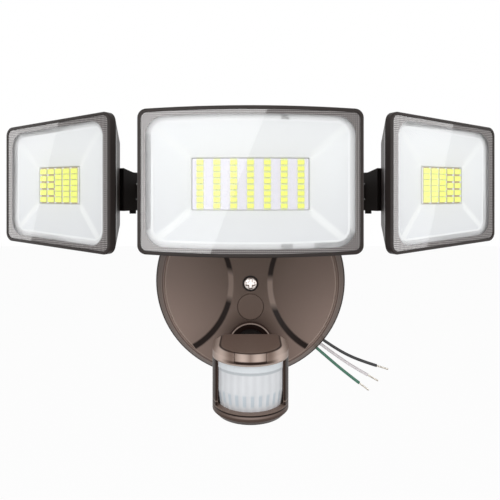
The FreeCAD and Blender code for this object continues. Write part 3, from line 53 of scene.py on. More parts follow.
camera_data = bpy.data.cameras.new("camera")
camera_data.sensor_width = 36
camera_data.lens = 36
camera_data.shift_x = -0.001
camera_data.shift_y = -0.118
camera_data.clip_start = 0.01
CAMERA = Vector((0, -336 * MM, 59.2 * MM))
camera = bpy.data.objects.new("camera", camera_data)
camera.location = CAMERA
camera.rotation_euler = (math.radians(90), 0, 0)
scene = bpy.context.scene
scene.collection.objects.link(camera)
scene.camera = camera
scene.view_settings.view_transform = "Standard"


class Tone:
    """A number or colour on its way through a material; arithmetic on it adds Math nodes."""

    def __init__(self, finish, socket):
        self.finish = finish
        self.socket = socket

    def maths(self, operation, *others):
        return self.finish.node("Math", {"operation": operation}, dict(enumerate((self,) + others)))

    def __add__(self, other):
        return self.maths("ADD", other)

    def __sub__(self, other):
        return self.maths("SUBTRACT", other)

    def __rsub__(self, other):
        return self.finish.node("Math", {"operation": "SUBTRACT"}, {0: other, 1: self})

    def __mul__(self, other):
        return self.maths("MULTIPLY", other)

    def __truediv__(self, other):
        return self.maths("DIVIDE", other)

    def __pow__(self, other):
        return self.maths("POWER", other)

    __radd__ = __add__
    __rmul__ = __mul__

    def beyond(self, edge, soft):
        """0 below the edge and 1 above it, over a soft distance."""
        rise = (self - edge) / soft
        return self.finish.node("Math", {"operation": "ADD", "use_clamp": True}, {0: rise, 1: 0.5})

    def within(self, low, high, soft):
        """1 between two edges and 0 outside them."""
        return self.beyond(low, soft) * (1 - self.beyond(high, soft))

    def size(self):
        return self.maths("ABSOLUTE")


class Finish:
    """A material's node tree under construction."""

    def __init__(self, name, tree=None):
        if tree is None:
            self.material = bpy.data.materials.new(name)
            self.material.use_nodes = True
            tree = self.material.node_tree
        self.tree = tree

    def node(self, kind, settings=None, values=None, output=0):
        made = self.tree.nodes.new("ShaderNode" + kind)
        for name, setting in (settings or {}).items():
            setattr(made, name, setting)
        self.feed(made, values or {})
        return Tone(self, made.outputs[output])

    def feed(self, made, values):
        for name, value in values.items():
            if isinstance(value, Tone):
                self.tree.links.new(value.socket, made.inputs[name])
            else:
                made.inputs[name].default_value = value

    def surface(self, values):
        self.feed(self.tree.nodes["Principled BSDF"], values)

    def shown(self, shader, kind="Material Output"):
        self.tree.links.new(shader.socket, self.tree.nodes[kind].inputs["Surface"])

    def blended(self, factor, first, second):
        return self.node("Mix", {"data_type": "RGBA"}, {0: factor, 6: first, 7: second}, output=2)

    def place(self):
        return self.node("TexCoord", output="Object")

    def axes(self, place):
        """The three coordinates of a place."""
        split = self.tree.nodes.new("ShaderNodeSeparateXYZ")
        self.tree.links.new(place.socket, split.inputs[0])
        return [Tone(self, split.outputs[axis]) for axis in "XYZ"]


def colour(red, green, blue):
    """A colour as the eye reads it, from 0 to 255, as the linear values that a shader takes."""
    parts = [part / 255 for part in (red, green, blue)]
    linear = [part / 12.92 if part < 0.04045 else ((part + 0.055) / 1.055) ** 2.4 for part in parts]
    return (*linear, 1)


# the surround is white to the camera, to gloss and through glass, and a plain pale grey as light
SURROUND_LIGHT = 0.65
world = bpy.data.worlds.new("surround")
scene.world = world
world.use_nodes = True
surround = Finish("surround", world.node_tree)
path = world.node_tree.nodes.new("ShaderNodeLightPath")
seen = Tone(surround, path.outputs["Is Camera Ray"])
seen = seen.maths("MAXIMUM", Tone(surround, path.outputs["Is Glossy Ray"]))
seen = seen.maths("MAXIMUM", Tone(surround, path.outputs["Is Transmission Ray"]))
strength = seen * (1 - SURROUND_LIGHT) + SURROUND_LIGHT
world.node_tree.nodes["Background"].inputs["Color"].default_value = (1, 1, 1, 1)
world.node_tree.links.new(strength.socket, world.node_tree.nodes["Background"].inputs["Strength"])

FLOOR_DROP = 420 * MM
floor_mesh = bmesh.new()
bmesh.ops.create_grid(floor_mesh, x_segments=1, y_segments=1, size=4)
bmesh.ops.translate(floor_mesh, vec=(0, 0, -FLOOR_DROP), verts=floor_mesh.verts)
floor_data = bpy.data.meshes.new("floor")
floor_mesh.to_mesh(floor_data)
floor = bpy.data.objects.new("floor", floor_data)
scene.collection.objects.link(floor)
paint = Finish("floor_paint")
paint.surface({"Base Color": (0.9, 0.9, 0.9, 1), "Roughness": 0.9, "Specular IOR Level": 0.1})
glow = paint.node("Emission", values={"Color": (1, 1, 1, 1), "Strength": 1.0})
floor_path = paint.tree.nodes.new("ShaderNodeLightPath")
to_eye = Tone(paint, floor_path.outputs["Is Camera Ray"])
to_eye = to_eye.maths("MAXIMUM", Tone(paint, floor_path.outputs["Is Glossy Ray"]))
to_eye = to_eye.maths("MAXIMUM", Tone(paint, floor_path.outputs["Is Transmission Ray"]))
lit = Tone(paint, paint.tree.nodes["Principled BSDF"].outputs[0])
paint.shown(paint.node("MixShader", values={0: to_eye * 0.93, 1: lit, 2: glow}))
floor_data.materials.append(paint.material)


def soft_lamp(name, place, target, width, height, power, roll=0.0):
    data = bpy.data.lights.new(name, "AREA")
    data.shape = "RECTANGLE"
    data.size = width
    data.size_y = height
    data.energy = power
    lamp = bpy.data.objects.new(name, data)
    lamp.location = place
    lamp.rotation_mode = "QUATERNION"
    facing = (Vector(target) - Vector(place)).to_track_quat("-Z", "Y")
    lamp.rotation_quaternion = facing @ Matrix.Rotation(roll, 3, "Z").to_quaternion()
    lamp.visible_camera = False
    scene.collection.objects.link(lamp)
    return lamp


soft_lamp("key_lamp", (-0.75, -1.3, 0.95), (0, 0, 0.02), 0.9, 0.9, 8)
soft_lamp("fill_lamp", (0.9, -1.2, 0.5), (0, 0, 0.02), 0.8, 0.8, 5)

# bright cards that only gloss sees: each lens mirrors the edge of one as a slanting glare;
# they lean by an angle in degrees, so that the glares slant as they do on the lenses
for name, place, target, width, height, power, lean in (
    ("main_card", (-0.24, -1.2, 0.172), (-0.24, 0, 0.172), 0.45, 0.75, 5.4, 21.4),
    ("left_card", (-1.2, 0.005, 0.121), (0, 0.005, 0.121), 0.4, 0.6, 2.3, 12.4),
    ("right_card", (1.2, -0.426, 0.118), (0, -0.426, 0.118), 0.4, 0.6, 2.7, 11.6),
):
    card = soft_lamp(name, place, target, width, height, power, -math.radians(lean))
    card.visible_diffuse = False
    card.visible_transmission = False


# ---- supply leads ----
# Three stranded copper leads in coloured vinyl. They leave the driver case through its grommet, run behind
# the plate to the gap in the gasket and stand out at the lower right, ends stripped and tinned.

LEAD_DIAMETER = 2.0
LEADS = {
    "black_lead": [(-16.8, -6.8, 4), (-16.8, -6.8, -11), (6, -5.4, -16), (27, -4.4, -24.8),
                   (45.5, -1.7, -38.3), (61.5, -1.55, -48.9), (74, -1.55, -54.4), (84.3, -1.55, -57.6)],
    "white_lead": [(-20.1, -6.8, 4), (-20.1, -6.8, -14.3), (2, -5.4, -19.2), (24.5, -4.4, -27.6),
                   (43, -1.7, -40.1), (56.5, -1.55, -50.2), (68.5, -1.55, -58.3), (78.3, -1.55, -63.8)],
    "green_lead": [(-23.4, -6.8, 4), (-23.4, -6.8, -17.6), (-2.5, -5.4, -21.6), (21.5, -4.4, -29.9),
                   (40, -1.7, -42), (51, -1.55, -51.6), (62, -1.55, -61), (72.6, -1.55, -69.1)],
}
LEAD_COLOURS = {"black_lead": (38, 38, 40), "white_lead": (226, 220, 222), "green_lead": (62, 118, 96)}


def vinyl(name, tint):
    """Soft vinyl: a low sheen with faint drawing marks."""
    skin = Finish(name)
    place = skin.place()
    marks = skin.node("TexNoise", values={"Vector": place, "Scale": 900.0, "Detail": 2.0})
    clouds = skin.node("TexNoise", values={"Vector": place, "Scale": 120.0, "Detail": 1.0})
    dim = tuple(part * 0.8 for part in tint[:3]) + (1,)
    skin.surface({
        "Base Color": skin.blended(clouds, dim, tint),
        "Roughness": marks * 0.15 + 0.38,
        "Normal": skin.node("Bump", values={"Strength": 0.15, "Distance": 0.0001, "Height": marks}),
    })
    return skin.material


tinned = Finish("tinned_strands")
tinned_place = tinned.place()
tinned_streaks = tinned.node("TexNoise", values={"Vector": tinned_place, "Scale": 1500.0, "Detail": 2.0})
tinned.surface({
    "Base Color": tinned.blended(tinned_streaks, colour(178, 170, 160), colour(222, 218, 210)),
    "Metallic": 1.0,
    "Roughness": tinned_streaks * 0.2 + 0.25,
})


def new_piece(name, mesh, materials, body, smooth=35):
    """An object from a finished bmesh, at the origin, that moves with a body of the frame."""
    data = bpy.data.meshes.new(name)
    mesh.to_mesh(data)
    mesh.free()
    data.shade_smooth()
    data.set_sharp_from_angle(angle=math.radians(smooth))
    for material in materials:
        data.materials.append(material)
    piece = bpy.data.objects.new(name, data)
    scene.collection.objects.link(piece)
    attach(piece, body)
    return piece


def twisted_strands(mesh, start, heading, length, across, strands=7, turns=1.5, steps=24):
    """Bare strands wound round each other, one in the middle and the rest about it."""
    thin = across / 3
    turn = heading.to_track_quat("Z", "Y").to_matrix().to_4x4()
    for number in range(strands):
        ring = bmesh.ops.create_circle(mesh, cap_ends=True, segments=8, radius=thin / 2)
        bmesh.ops.rotate(mesh, verts=ring["verts"], matrix=Matrix.Rotation(0.2, 3, "X"))
        if number:
            angle = math.tau * number / (strands - 1)
            place = (thin * math.cos(angle), thin * math.sin(angle), 0)
            bmesh.ops.translate(mesh, verts=ring["verts"], vec=place)
        faces = {face for vert in ring["verts"] for face in vert.link_faces}
        bmesh.ops.spin(
            mesh, geom=list(faces), cent=(0, 0, 0), axis=(0, 0, 1), dvec=(0, 0, length / steps),
            angle=turns * math.tau, steps=steps, use_merge=False, use_duplicate=False,
        )
    bmesh.ops.transform(mesh, matrix=Matrix.Translation(start) @ turn, verts=mesh.verts)
    return mesh


for lead_name, route in LEADS.items():
    points = [Vector(point) * MM for point in route]
    line = bpy.data.curves.new(lead_name + "_jacket", "CURVE")
    line.dimensions = "3D"
    line.bevel_depth = LEAD_DIAMETER * MM / 2
    line.bevel_resolution = 5
    line.use_fill_caps = True
    line.resolution_u = 16
    spline = line.splines.new("NURBS")
    spline.points.add(len(points) - 1)
    for knot, point in zip(spline.points, points):
        knot.co = (*point, 1)
    spline.order_u = 3
    spline.use_endpoint_u = True
    line.materials.append(vinyl(lead_name + "_vinyl", colour(*LEAD_COLOURS[lead_name])))
    jacket = bpy.data.objects.new(lead_name + "_jacket", line)
    scene.collection.objects.link(jacket)
    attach(jacket, "wall_plate")
    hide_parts(lead_name)

    heading = (points[-1] - points[-2]).normalized()
    tip = new_piece(
        lead_name + "_strands",
        twisted_strands(bmesh.new(), points[-1], heading, 8 * MM, 1.2 * MM),
        [tinned.material], "wall_plate", 60,
    )
    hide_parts(lead_name + "_tip")


# ---- wall plate, hub and brackets in powder coat ----
# Cast aluminium under a baked polyester powder: fine orange peel, satin, bronze on the plate and the hub
# and nearly black on the arms and brackets. Painted shadows and painted highlights follow the plate's raised
# band and rim, and painted light lightens its lobes outwards.

CLOUD_SCALE = 28.0
PEEL_SCALE = 1500.0


def powder_coat(name, tint, light, gloss=0.42, paint_light_and_shade=None):
    """Orange-peel powder; a function may paint light and shade into its colour by place."""
    coat = Finish(name)
    place = coat.place()
    clouds = coat.node("TexNoise", values={"Vector": place, "Scale": CLOUD_SCALE, "Detail": 3.0})
    peeled = coat.node("TexNoise", values={"Vector": place, "Scale": PEEL_SCALE, "Detail": 2.0})
    specks = coat.node("TexNoise", values={"Vector": place, "Scale": PEEL_SCALE * 2.6, "Detail": 1.0})
    rounded = coat.node("Bevel", {"samples": 4}, {"Radius": 0.35 * MM})
    relief = {"Strength": 0.22, "Distance": 0.00012, "Height": peeled, "Normal": rounded}
    bump = coat.node("Bump", values=relief)
    tone = coat.blended(clouds * 0.7 + specks * 0.3, tint, light)
    coat.surface({
        "Base Color": paint_light_and_shade(coat, tone, coat.axes(place)) if paint_light_and_shade else tone,
        "Roughness": peeled * 0.16 + (gloss - 0.08),
        "Specular IOR Level": 0.12,
        "Normal": bump,
    })
    return coat.material


def finished(node, material):
    """A CAD node keeps its form and gets its finish, some finishes with light and shade painted into them."""
    data = nodes[node].data
    data.materials.clear()
    data.materials.append(material)


bronze = powder_coat("bronze_coat", colour(104, 87, 78), colour(114, 97, 88))
black_coat = powder_coat("bracket_coat", colour(27, 24, 23), colour(36, 32, 30), 0.4)
for node in ("plug_cap", "hub"):
    finished(node, bronze)
for node in ("left_arm", "right_arm", "left_bracket", "right_bracket", "main_yoke", "sensor_arm",
             "left_pan_bolt", "right_pan_bolt"):
    finished(node, black_coat)


SOCKET_RADIUS = 14.8 * MM
socket_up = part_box("sensor_collar")[1][2] - SOCKET_RADIUS
LOBE_OFFSET = 59.4 * MM
RIDGE_INSIDE, RIDGE_OUTSIDE = 45.2 * MM, 48.6 * MM
FACE_EDGE = 55 * MM
PLATE_EDGE = 61.3 * MM


def plate_painted_light(coat, tone, axes):
    """Painted light and shade: lobes lighter outwards, a shadow by the socket, slopes beside the hourglass
    band dark at their ends and light between, and shade and highlight lines on the rim.
    """
    across, depth, up = axes
    radius = (across * across + up * up) ** 0.5
    # painted light: each lobe lighter towards its outer, lower part
    lobe_light = coat.node("Math", {"operation": "ADD", "use_clamp": True},
                     {0: (across.size() - 15 * MM) * 17 - up * 10, 1: 0.12})
    tone = coat.blended(lobe_light, tone, colour(140, 121, 112))
    # painted shadow on the plate round the ball socket
    low = up - socket_up
    socket_shadow = 1 - ((across * across + low * low) ** 0.5).beyond(19 * MM, 12 * MM)
    tone = coat.blended(socket_shadow * 0.75, tone, colour(52, 38, 32))
    # painted shade at the ends of the slopes beside the hourglass band, a painted highlight between the ends
    offset = across.size() - LOBE_OFFSET
    ridge = ((offset * offset + up * up) ** 0.5).within(RIDGE_INSIDE, RIDGE_OUTSIDE, 1.0 * MM)
    ends = (up + across * 0.17 + 3.6 * MM).size().beyond(9 * MM, 5 * MM)
    ridge_slope_light = coat.blended(ends, colour(146, 128, 118), colour(28, 16, 11))
    tone = coat.blended(ridge * radius.within(-1, FACE_EDGE, 1.5 * MM), tone, ridge_slope_light)
    # the rim in a plain tone without the painted lobe light; painted shade in the groove inside it, a painted
    # highlight line at the face's edge and a painted dark line at the plate's outer edge
    tone = coat.blended(radius.beyond(57.8 * MM, 0.4 * MM), tone, colour(96, 80, 71))
    tone = coat.blended(radius.within(56.4 * MM, 57.5 * MM, 0.4 * MM), tone, colour(84, 66, 58))
    tone = coat.blended(radius.within(54.6 * MM, 55.5 * MM, 0.4 * MM), tone, colour(168, 150, 140))
    return coat.blended(radius.beyond(PLATE_EDGE, 0.6 * MM), tone, colour(44, 32, 26))


finished("canopy", powder_coat("plate_coat", colour(98, 82, 73), colour(108, 92, 83), 0.42, plate_painted_light))


def socket_painted_light(coat, tone, axes):
    """A painted highlight on the rim of the ball socket, and painted shade in the throat inside it and on the
    collar round it.
    """
    across, depth, up = axes
    low = up - socket_up
    radius = (across * across + low * low) ** 0.5
    # painted shade: the throat near black, the collar round it dark
    tone = coat.blended(radius.beyond(13.6 * MM, 0.4 * MM), colour(26, 14, 10), colour(60, 44, 37))
    # painted highlight line on the rim of the socket
    return coat.blended(radius.within(13.2 * MM, 13.9 * MM, 0.3 * MM), tone, colour(166, 148, 138))


socket_coat = powder_coat("socket_coat", colour(88, 75, 67), colour(98, 85, 77), 0.42, socket_painted_light)
finished("sensor_collar", socket_coat)


# ---- zinc-plated fixings ----
# The crossbar, the screws of the hub and the sensor, the bolt, nut and pin of the tilts, and the cross-recess
# screw in the middle of the plate.

zinc = Finish("zinc_plate")
zinc_place = zinc.place()
zinc_grain = zinc.node("TexNoise", values={"Vector": zinc_place, "Scale": 700.0, "Detail": 3.0})
zinc_edge = zinc.node("Bevel", {"samples": 4}, {"Radius": 0.25 * MM})
zinc.surface({
    "Base Color": zinc.blended(zinc_grain, colour(205, 200, 194), colour(236, 233, 228)),
    "Metallic": 0.9,
    "Roughness": zinc_grain * 0.2 + 0.25,
    "Normal": zinc.node(
        "Bump", values={"Strength": 0.1, "Distance": 0.00005, "Height": zinc_grain, "Normal": zinc_edge},
    ),
})
for node in ("mounting_crossbar", "hub_screws", "main_tilt_bolt", "main_tilt_nut", "sensor_tilt_pin",
             "heat_sensor", "sensor_screws"):
    finished(node, zinc.material)

# the centre screw is bright nickel, its cross recess and its rim outlined by painted shadow
CROSS_WIDE = 2.1 * MM
CROSS_LONG = 5.8 * MM
nickel = Finish("bright_nickel")
nickel_place = nickel.place()
nickel_across, nickel_depth, nickel_up = nickel.axes(nickel_place)
screw_low, screw_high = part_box("centre_screw")
screw_radius = (screw_high[0] - screw_low[0]) / 2
cross_near = nickel_across.size().maths("MINIMUM", nickel_up.size()) - CROSS_WIDE / 2
cross_far = nickel_across.size().maths("MAXIMUM", nickel_up.size()) - CROSS_LONG / 2
cross_edge = cross_near.maths("MAXIMUM", cross_far).within(-0.22 * MM, 0.22 * MM, 0.15 * MM)
nickel_radius = (nickel_across * nickel_across + nickel_up * nickel_up) ** 0.5
shadow = cross_edge.maths("MAXIMUM", nickel_radius.beyond(screw_radius - 0.45 * MM, 0.3 * MM))
nickel_grain = nickel.node("TexNoise", values={"Vector": nickel_place, "Scale": 900.0, "Detail": 2.0})
nickel_tone = nickel.blended(nickel_grain, colour(247, 239, 234), colour(254, 248, 244))
nickel.surface({
    "Base Color": nickel.blended(shadow, nickel_tone, colour(92, 70, 58)),
    "Metallic": 0.8,
    "Roughness": nickel_grain * 0.2 + 0.3,
})
finished("centre_screw", nickel.material)


# ---- rubber and foam ----
# Closed-cell gasket against the wall, screw seal, grommet of the leads, and white silicone lens gaskets.

rubber = Finish("black_rubber")
rubber_cells = rubber.node("TexVoronoi", values={"Vector": rubber.place(), "Scale": 1400.0})
rubber.surface({
    "Base Color": rubber.blended(rubber_cells, colour(24, 24, 24), colour(40, 40, 40)),
    "Roughness": rubber_cells * 0.2 + 0.7,
    "Normal": rubber.node("Bump", values={"Strength": 0.3, "Distance": 0.0002, "Height": rubber_cells}),
})
for node in ("wall_gasket", "screw_seal", "lead_grommet"):
    finished(node, rubber.material)

silicone = Finish("white_silicone")
silicone_clouds = silicone.node("TexNoise", values={"Vector": silicone.place(), "Scale": 90.0})
silicone.surface({
    "Base Color": silicone.blended(silicone_clouds, colour(236, 234, 235), colour(244, 242, 243)),
    "Roughness": silicone_clouds * 0.1 + 0.5,
})
for node in ("main_seal", "left_seal", "right_seal"):
    finished(node, silicone.material)


# ---- moulded black plastic and circuit boards ----
# Driver case, collar nut and setting dials; glass-fibre boards under solder mask.

moulded = Finish("moulded_black")
moulded_grain = moulded.node("TexNoise", values={"Vector": moulded.place(), "Scale": 2600.0, "Detail": 2.0})
moulded.surface({
    "Base Color": moulded.blended(moulded_grain, colour(30, 30, 31), colour(42, 42, 43)),
    "Roughness": moulded_grain * 0.2 + 0.4,
    "Normal": moulded.node("Bump", values={"Strength": 0.2, "Distance": 0.0001, "Height": moulded_grain}),
})
for node in ("driver_case", "sensor_collar_nut", "dial_time", "dial_light", "dial_range"):
    finished(node, moulded.material)

mask = Finish("solder_mask")
mask_cells = mask.node("TexNoise", values={"Vector": mask.place(), "Scale": 400.0, "Detail": 2.0})
mask.surface({
    "Base Color": mask.blended(mask_cells, colour(228, 226, 238), colour(240, 238, 248)),
    "Roughness": mask_cells * 0.1 + 0.35,
})
for node in ("driver_board", "sensor_board"):
    finished(node, mask.material)


# ---- lamp heads ----
# Die-cast housings with a white moulded reflector under a polycarbonate lens. The lens is clear over the
# reflector's window, and its border carries a fine moulded grid that hides the gasket and seat behind it.
# Sizes are in millimetres and follow the solids: the window's left and right heights, the field's shift to
# the side and its drop below the middle, and the pitch of the chips across and up.

# gap and gap_edge set the board's colour between the chips of a column and how wide it spreads: a painted
# yellow reflection of the phosphor on the main head, painted shade on the side heads
HEADS = {
    "main": {
        "body": "main_head", "centre": (0, -86, 63.95), "pan": 0,
        "window": (105.3, 64.75, 64.75), "bow": 1.72, "corner": 9.3,
        "field": (59.4, 26.0), "shift": 0, "drop": 1.2,
        "columns": (8,) * 7, "pitch": (8.6, 3.17), "chip": (3.5, 2.3),
        "gap": (243, 247, 196), "gap_edge": 0.3,
    },
    "left": {
        "body": "left_head", "centre": (-111.9, -51.45, 63.35), "pan": -30,
        "window": (76.6, 60.2, 68.0), "bow": 0, "corner": 9.0,
        "field": (33.8, 20.6), "shift": -2.5, "drop": 0.95,
        "columns": (5, 5, 6, 6, 6), "pitch": (6.59, 3.28), "chip": (5.45, 3.05),
        "gap": (205, 178, 140), "gap_edge": -0.6,
    },
    "right": {
        "body": "right_head", "centre": (111.9, -51.45, 63.35), "pan": 30,
        "window": (76.6, 68.0, 60.2), "bow": 0, "corner": 9.0,
        "field": (33.8, 20.6), "shift": 2.5, "drop": 0.95,
        "columns": (6, 6, 6, 5, 5), "pitch": (6.59, 3.28), "chip": (5.45, 3.05),
        "gap": (205, 178, 140), "gap_edge": -0.6,
    },
}
CHIP_FRONT = 4.9
CHIP_THICK = 0.7
GRID_PITCH = 1.0
LIP_WIDTH = 2.4
BORDER_SOFT = 0.9
FRONT_FACING = 0.9

package = Finish("chip_package")
package_grain = package.node("TexNoise", values={"Vector": package.place(), "Scale": 3000.0})
package.surface({
    "Base Color": package.blended(package_grain, colour(232, 232, 160), colour(244, 246, 186)),
    "Roughness": package_grain * 0.1 + 0.4,
})
# painted light: the phosphor gel glows faintly through its emission, though the chips are not lit
gel = Finish("phosphor_gel")
gel_grain = gel.node("TexNoise", values={"Vector": gel.place(), "Scale": 2500.0, "Detail": 2.0})
gel.surface({
    "Base Color": gel.blended(gel_grain, (0.9, 0.97, 0.16, 1), (0.98, 1.0, 0.24, 1)),
    "Roughness": gel_grain * 0.15 + 0.2,
    "Emission Color": gel.blended(gel_grain, (0.85, 0.95, 0.1, 1), (0.95, 1.0, 0.2, 1)),
    "Emission Strength": 0.12,
})


def head_place(finish, head):
    """Where a point lies on a head: across, depth, up, and how far outside the visible window it is."""
    local = finish.node(
        "Mapping", {"vector_type": "TEXTURE"},
        {"Vector": finish.place(), "Location": [part * MM for part in head["centre"]],
         "Rotation": (0, 0, math.radians(head["pan"]))},
    )
    across, depth, up = finish.axes(local)
    width, left, right = [size * MM for size in head["window"]]
    corner = head["corner"] * MM
    bow = head["bow"] * MM
    tall = across * ((right - left) / 2 / width) + (left + right) / 4
    if bow:
        tall = tall + bow - (across * (2 / width)) ** 2 * bow
    beside = (across.size() - (width / 2 - corner)).maths("MAXIMUM", 0.0)
    above = (up.size() - tall + corner).maths("MAXIMUM", 0.0)
    return across, depth, up, (beside * beside + above * above) ** 0.5 - corner


def reflector_white(name, head):
    """Glossy white moulding with painted light: a lip painted greyer as shade, slopes painted lighter above
    than below, painted highlights along the corners and at the lip's inner edge.
    """
    white = Finish(name)
    across, depth, up, distance = head_place(white, head)
    clouds = white.node("TexNoise", values={"Vector": white.place(), "Scale": 60.0, "Detail": 2.0})
    width, left, right = [size * MM for size in head["window"]]
    field_wide, field_tall = [size * MM / 2 for size in head["field"]]
    # painted light: the slopes lighter above than below
    tone = white.blended(up.beyond(0, 40 * MM), colour(238, 238, 240), colour(249, 249, 250))
    # painted highlight along the folds from the corners of the field to the corners of the window
    beside = (across - head["shift"] * MM).size() - field_wide
    above = (up + head["drop"] * MM).size() - field_tall
    slant = (left + right) / 4 - field_tall
    diagonal = above - beside * (slant / (width / 2 - field_wide))
    corner = (1 - diagonal.size().beyond(2.4 * MM, 2.0 * MM)) * beside.beyond(1 * MM, 2 * MM)
    tone = white.blended(corner * 0.8, tone, colour(254, 254, 254))
    # painted highlight in a band at the inner edge of the lip
    tone = white.blended(distance.beyond(-LIP_WIDTH * MM - 1.0 * MM, 0.4 * MM), tone, colour(254, 254, 255))
    # painted shade: the lip greyer than the highlight beside it
    lip_shade = white.blended(clouds, colour(240, 239, 240), colour(248, 247, 248))
    white.surface({
        "Base Color": white.blended(distance.beyond(-LIP_WIDTH * MM, 0.3 * MM), tone, lip_shade),
        "Roughness": clouds * 0.1 + 0.35,
        "Specular IOR Level": 0.3,
        "Normal": white.node("Bevel", {"samples": 4}, {"Radius": 0.5 * MM}),
    })
    return white.material


def seat_painted_light(head):
    """Painted light: the seat of the lens is painted white, so no dark line shows between the border and the
    lip.
    """
    def shading(coat, tone, axes):
        across, depth, up, distance = head_place(coat, head)
        # painted light: the housing white where it seats the lens, close round the window
        seat = depth.within(1.0 * MM, 9 * MM, 0.5 * MM) * (1 - distance.beyond(2.6 * MM, 0.5 * MM))
        return coat.blended(seat, tone, colour(238, 236, 237))
    return shading


def board_white(name, head):
    """White solder mask; between the chips of a column, a painted yellow reflection of the phosphor on the
    main head and painted shade on the side heads.
    """
    board = Finish(name)
    across, depth, up, distance = head_place(board, head)
    cells = board.node("TexNoise", values={"Vector": board.place(), "Scale": 400.0, "Detail": 2.0})
    wave = ((across - head["shift"] * MM) * (math.tau / (head["pitch"][0] * MM))).maths("COSINE")
    tone = board.blended(cells, colour(236, 232, 246), colour(246, 242, 253))
    # between the chips of a column: painted yellow reflection of the phosphor on the main head, painted shade
    # on the side heads
    strips = wave.beyond(head["gap_edge"], 0.3)
    board.surface({
        "Base Color": board.blended(strips, tone, colour(*head["gap"])),
        "Roughness": cells * 0.1 + 0.35,
    })
    return board.material


def lens_front(name, head):
    """Clear in the window; round it a grid of fine prisms over the seat of the lens."""
    glass = Finish(name)
    across, depth, up, distance = head_place(glass, head)
    border = distance.beyond(0, BORDER_SOFT * MM)
    wave = math.tau / (GRID_PITCH * MM)
    prisms = ((up * wave).maths("COSINE") * 0.5 + 0.5) * ((across * wave).maths("COSINE") * 0.5 + 0.5)
    glass.surface({
        "Base Color": glass.blended(prisms, colour(70, 64, 63), colour(186, 180, 178)),
        "Roughness": prisms * 0.1 + 0.35,
        "Specular IOR Level": 0.0,
        "Normal": glass.node("Bump", values={"Strength": 0.3, "Distance": 0.0002, "Height": prisms}),
    })
    frost = Tone(glass, glass.tree.nodes["Principled BSDF"].outputs[0])
    clear = glass.node("BsdfTransparent", values={"Color": (0.985, 0.99, 0.99, 1)})
    gloss = glass.node("BsdfGlossy", values={"Color": (1, 1, 1, 1), "Roughness": 0.02})
    mirror = glass.node("Fresnel", values={"IOR": 1.56})
    milky = glass.node("MixShader", values={0: border * 0.95, 1: clear, 2: frost})
    glass.shown(glass.node("MixShader", values={0: mirror * (border * 0.7 + 0.3), 1: milky, 2: gloss}))
    return glass.material


lens_rear = Finish("lens_rear")
lens_haze = lens_rear.node("TexNoise", values={"Vector": lens_rear.place(), "Scale": 80.0})
rear_clear = lens_rear.node("BsdfTransparent", values={"Color": (0.985, 0.99, 0.99, 1)})
rear_edge = Tone(lens_rear, lens_rear.tree.nodes["Principled BSDF"].outputs[0])
lens_rear.surface({"Base Color": colour(200, 205, 208), "Roughness": 0.2})
lens_rear.shown(lens_rear.node("MixShader", values={0: lens_haze * 0.01, 1: rear_clear, 2: rear_edge}))


def merged_copy(node):
    """A new bmesh with a CAD node's form, its loose triangles joined and its flat faces made whole."""
    mesh = bmesh.new()
    mesh.from_mesh(nodes[node].data)
    bmesh.ops.remove_doubles(mesh, verts=mesh.verts, dist=1e-6)
    bmesh.ops.dissolve_limit(mesh, angle_limit=math.radians(0.5), verts=mesh.verts, edges=mesh.edges)
    return mesh


for head_name, head in HEADS.items():
    turn = Matrix.Rotation(math.radians(head["pan"]), 4, "Z")
    stand = Matrix.Translation(Vector(head["centre"]) * MM) @ turn
    forward = turn.to_3x3() @ Vector((0, -1, 0))
    coat = powder_coat(head_name + "_coat", colour(44, 38, 36), colour(54, 48, 46), 0.4, seat_painted_light(head))
    finished(head_name + "_housing", coat)
    finished(head_name + "_reflector", reflector_white(head_name + "_reflector_white", head))
    finished(head_name + "_led_board", board_white(head_name + "_board_white", head))

    pane = merged_copy(head_name + "_lens")
    for face in pane.faces:
        face.material_index = 0 if face.normal.dot(forward) > FRONT_FACING else 1
    faces = [lens_front(head_name + "_lens_front", head), lens_rear.material]
    lens = new_piece(head_name + "_pane", pane, faces, head["body"])
    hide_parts(head_name + "_lens")

    # every chip is a pale yellow package with a sunken window of phosphor
    chips = bmesh.new()
    columns = head["columns"]
    wide, tall = head["chip"]
    across_pitch, row_pitch = head["pitch"]
    span = row_pitch * (max(columns) - 1)
    for column, rows in enumerate(columns):
        across = (column - (len(columns) - 1) / 2) * across_pitch + head["shift"]
        for row in range(rows):
            up = row * span / (rows - 1) - span / 2 - head["drop"]
            cube = bmesh.ops.create_cube(chips, size=1)["verts"]
            size = Matrix.Diagonal((wide * MM, CHIP_THICK * MM, tall * MM, 1))
            spot = Matrix.Translation(Vector((across, CHIP_FRONT + CHIP_THICK / 2, up)) * MM)
            bmesh.ops.transform(chips, matrix=spot @ size, verts=cube)
            sides = {face for vert in cube for face in vert.link_faces}
            window = min(sides, key=lambda face: face.normal.y)
            bmesh.ops.inset_region(chips, faces=[window], thickness=0.12 * MM, depth=0)
            bmesh.ops.inset_region(chips, faces=[window], thickness=0.06 * MM, depth=-0.1 * MM)
            window.material_index = 1
    bmesh.ops.transform(chips, matrix=stand, verts=chips.verts)
    array = new_piece(head_name + "_chips", chips, [package.material, gel.material], head["body"], 30)
    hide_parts(head_name + "_leds")


# ---- motion sensor ----
# Satin bronze mouldings with rounded edges, their light and shade painted on along those edges, round a milky
# polyethylene lens moulded in facets and tiers, each of which focuses one beam on the heat sensor behind it.

SENSOR_DARK = colour(84, 70, 63)
SENSOR_LIGHT = colour(92, 78, 71)
SENSOR_CENTRE = -65.5 * MM
FACETS_PER_RADIAN = 28


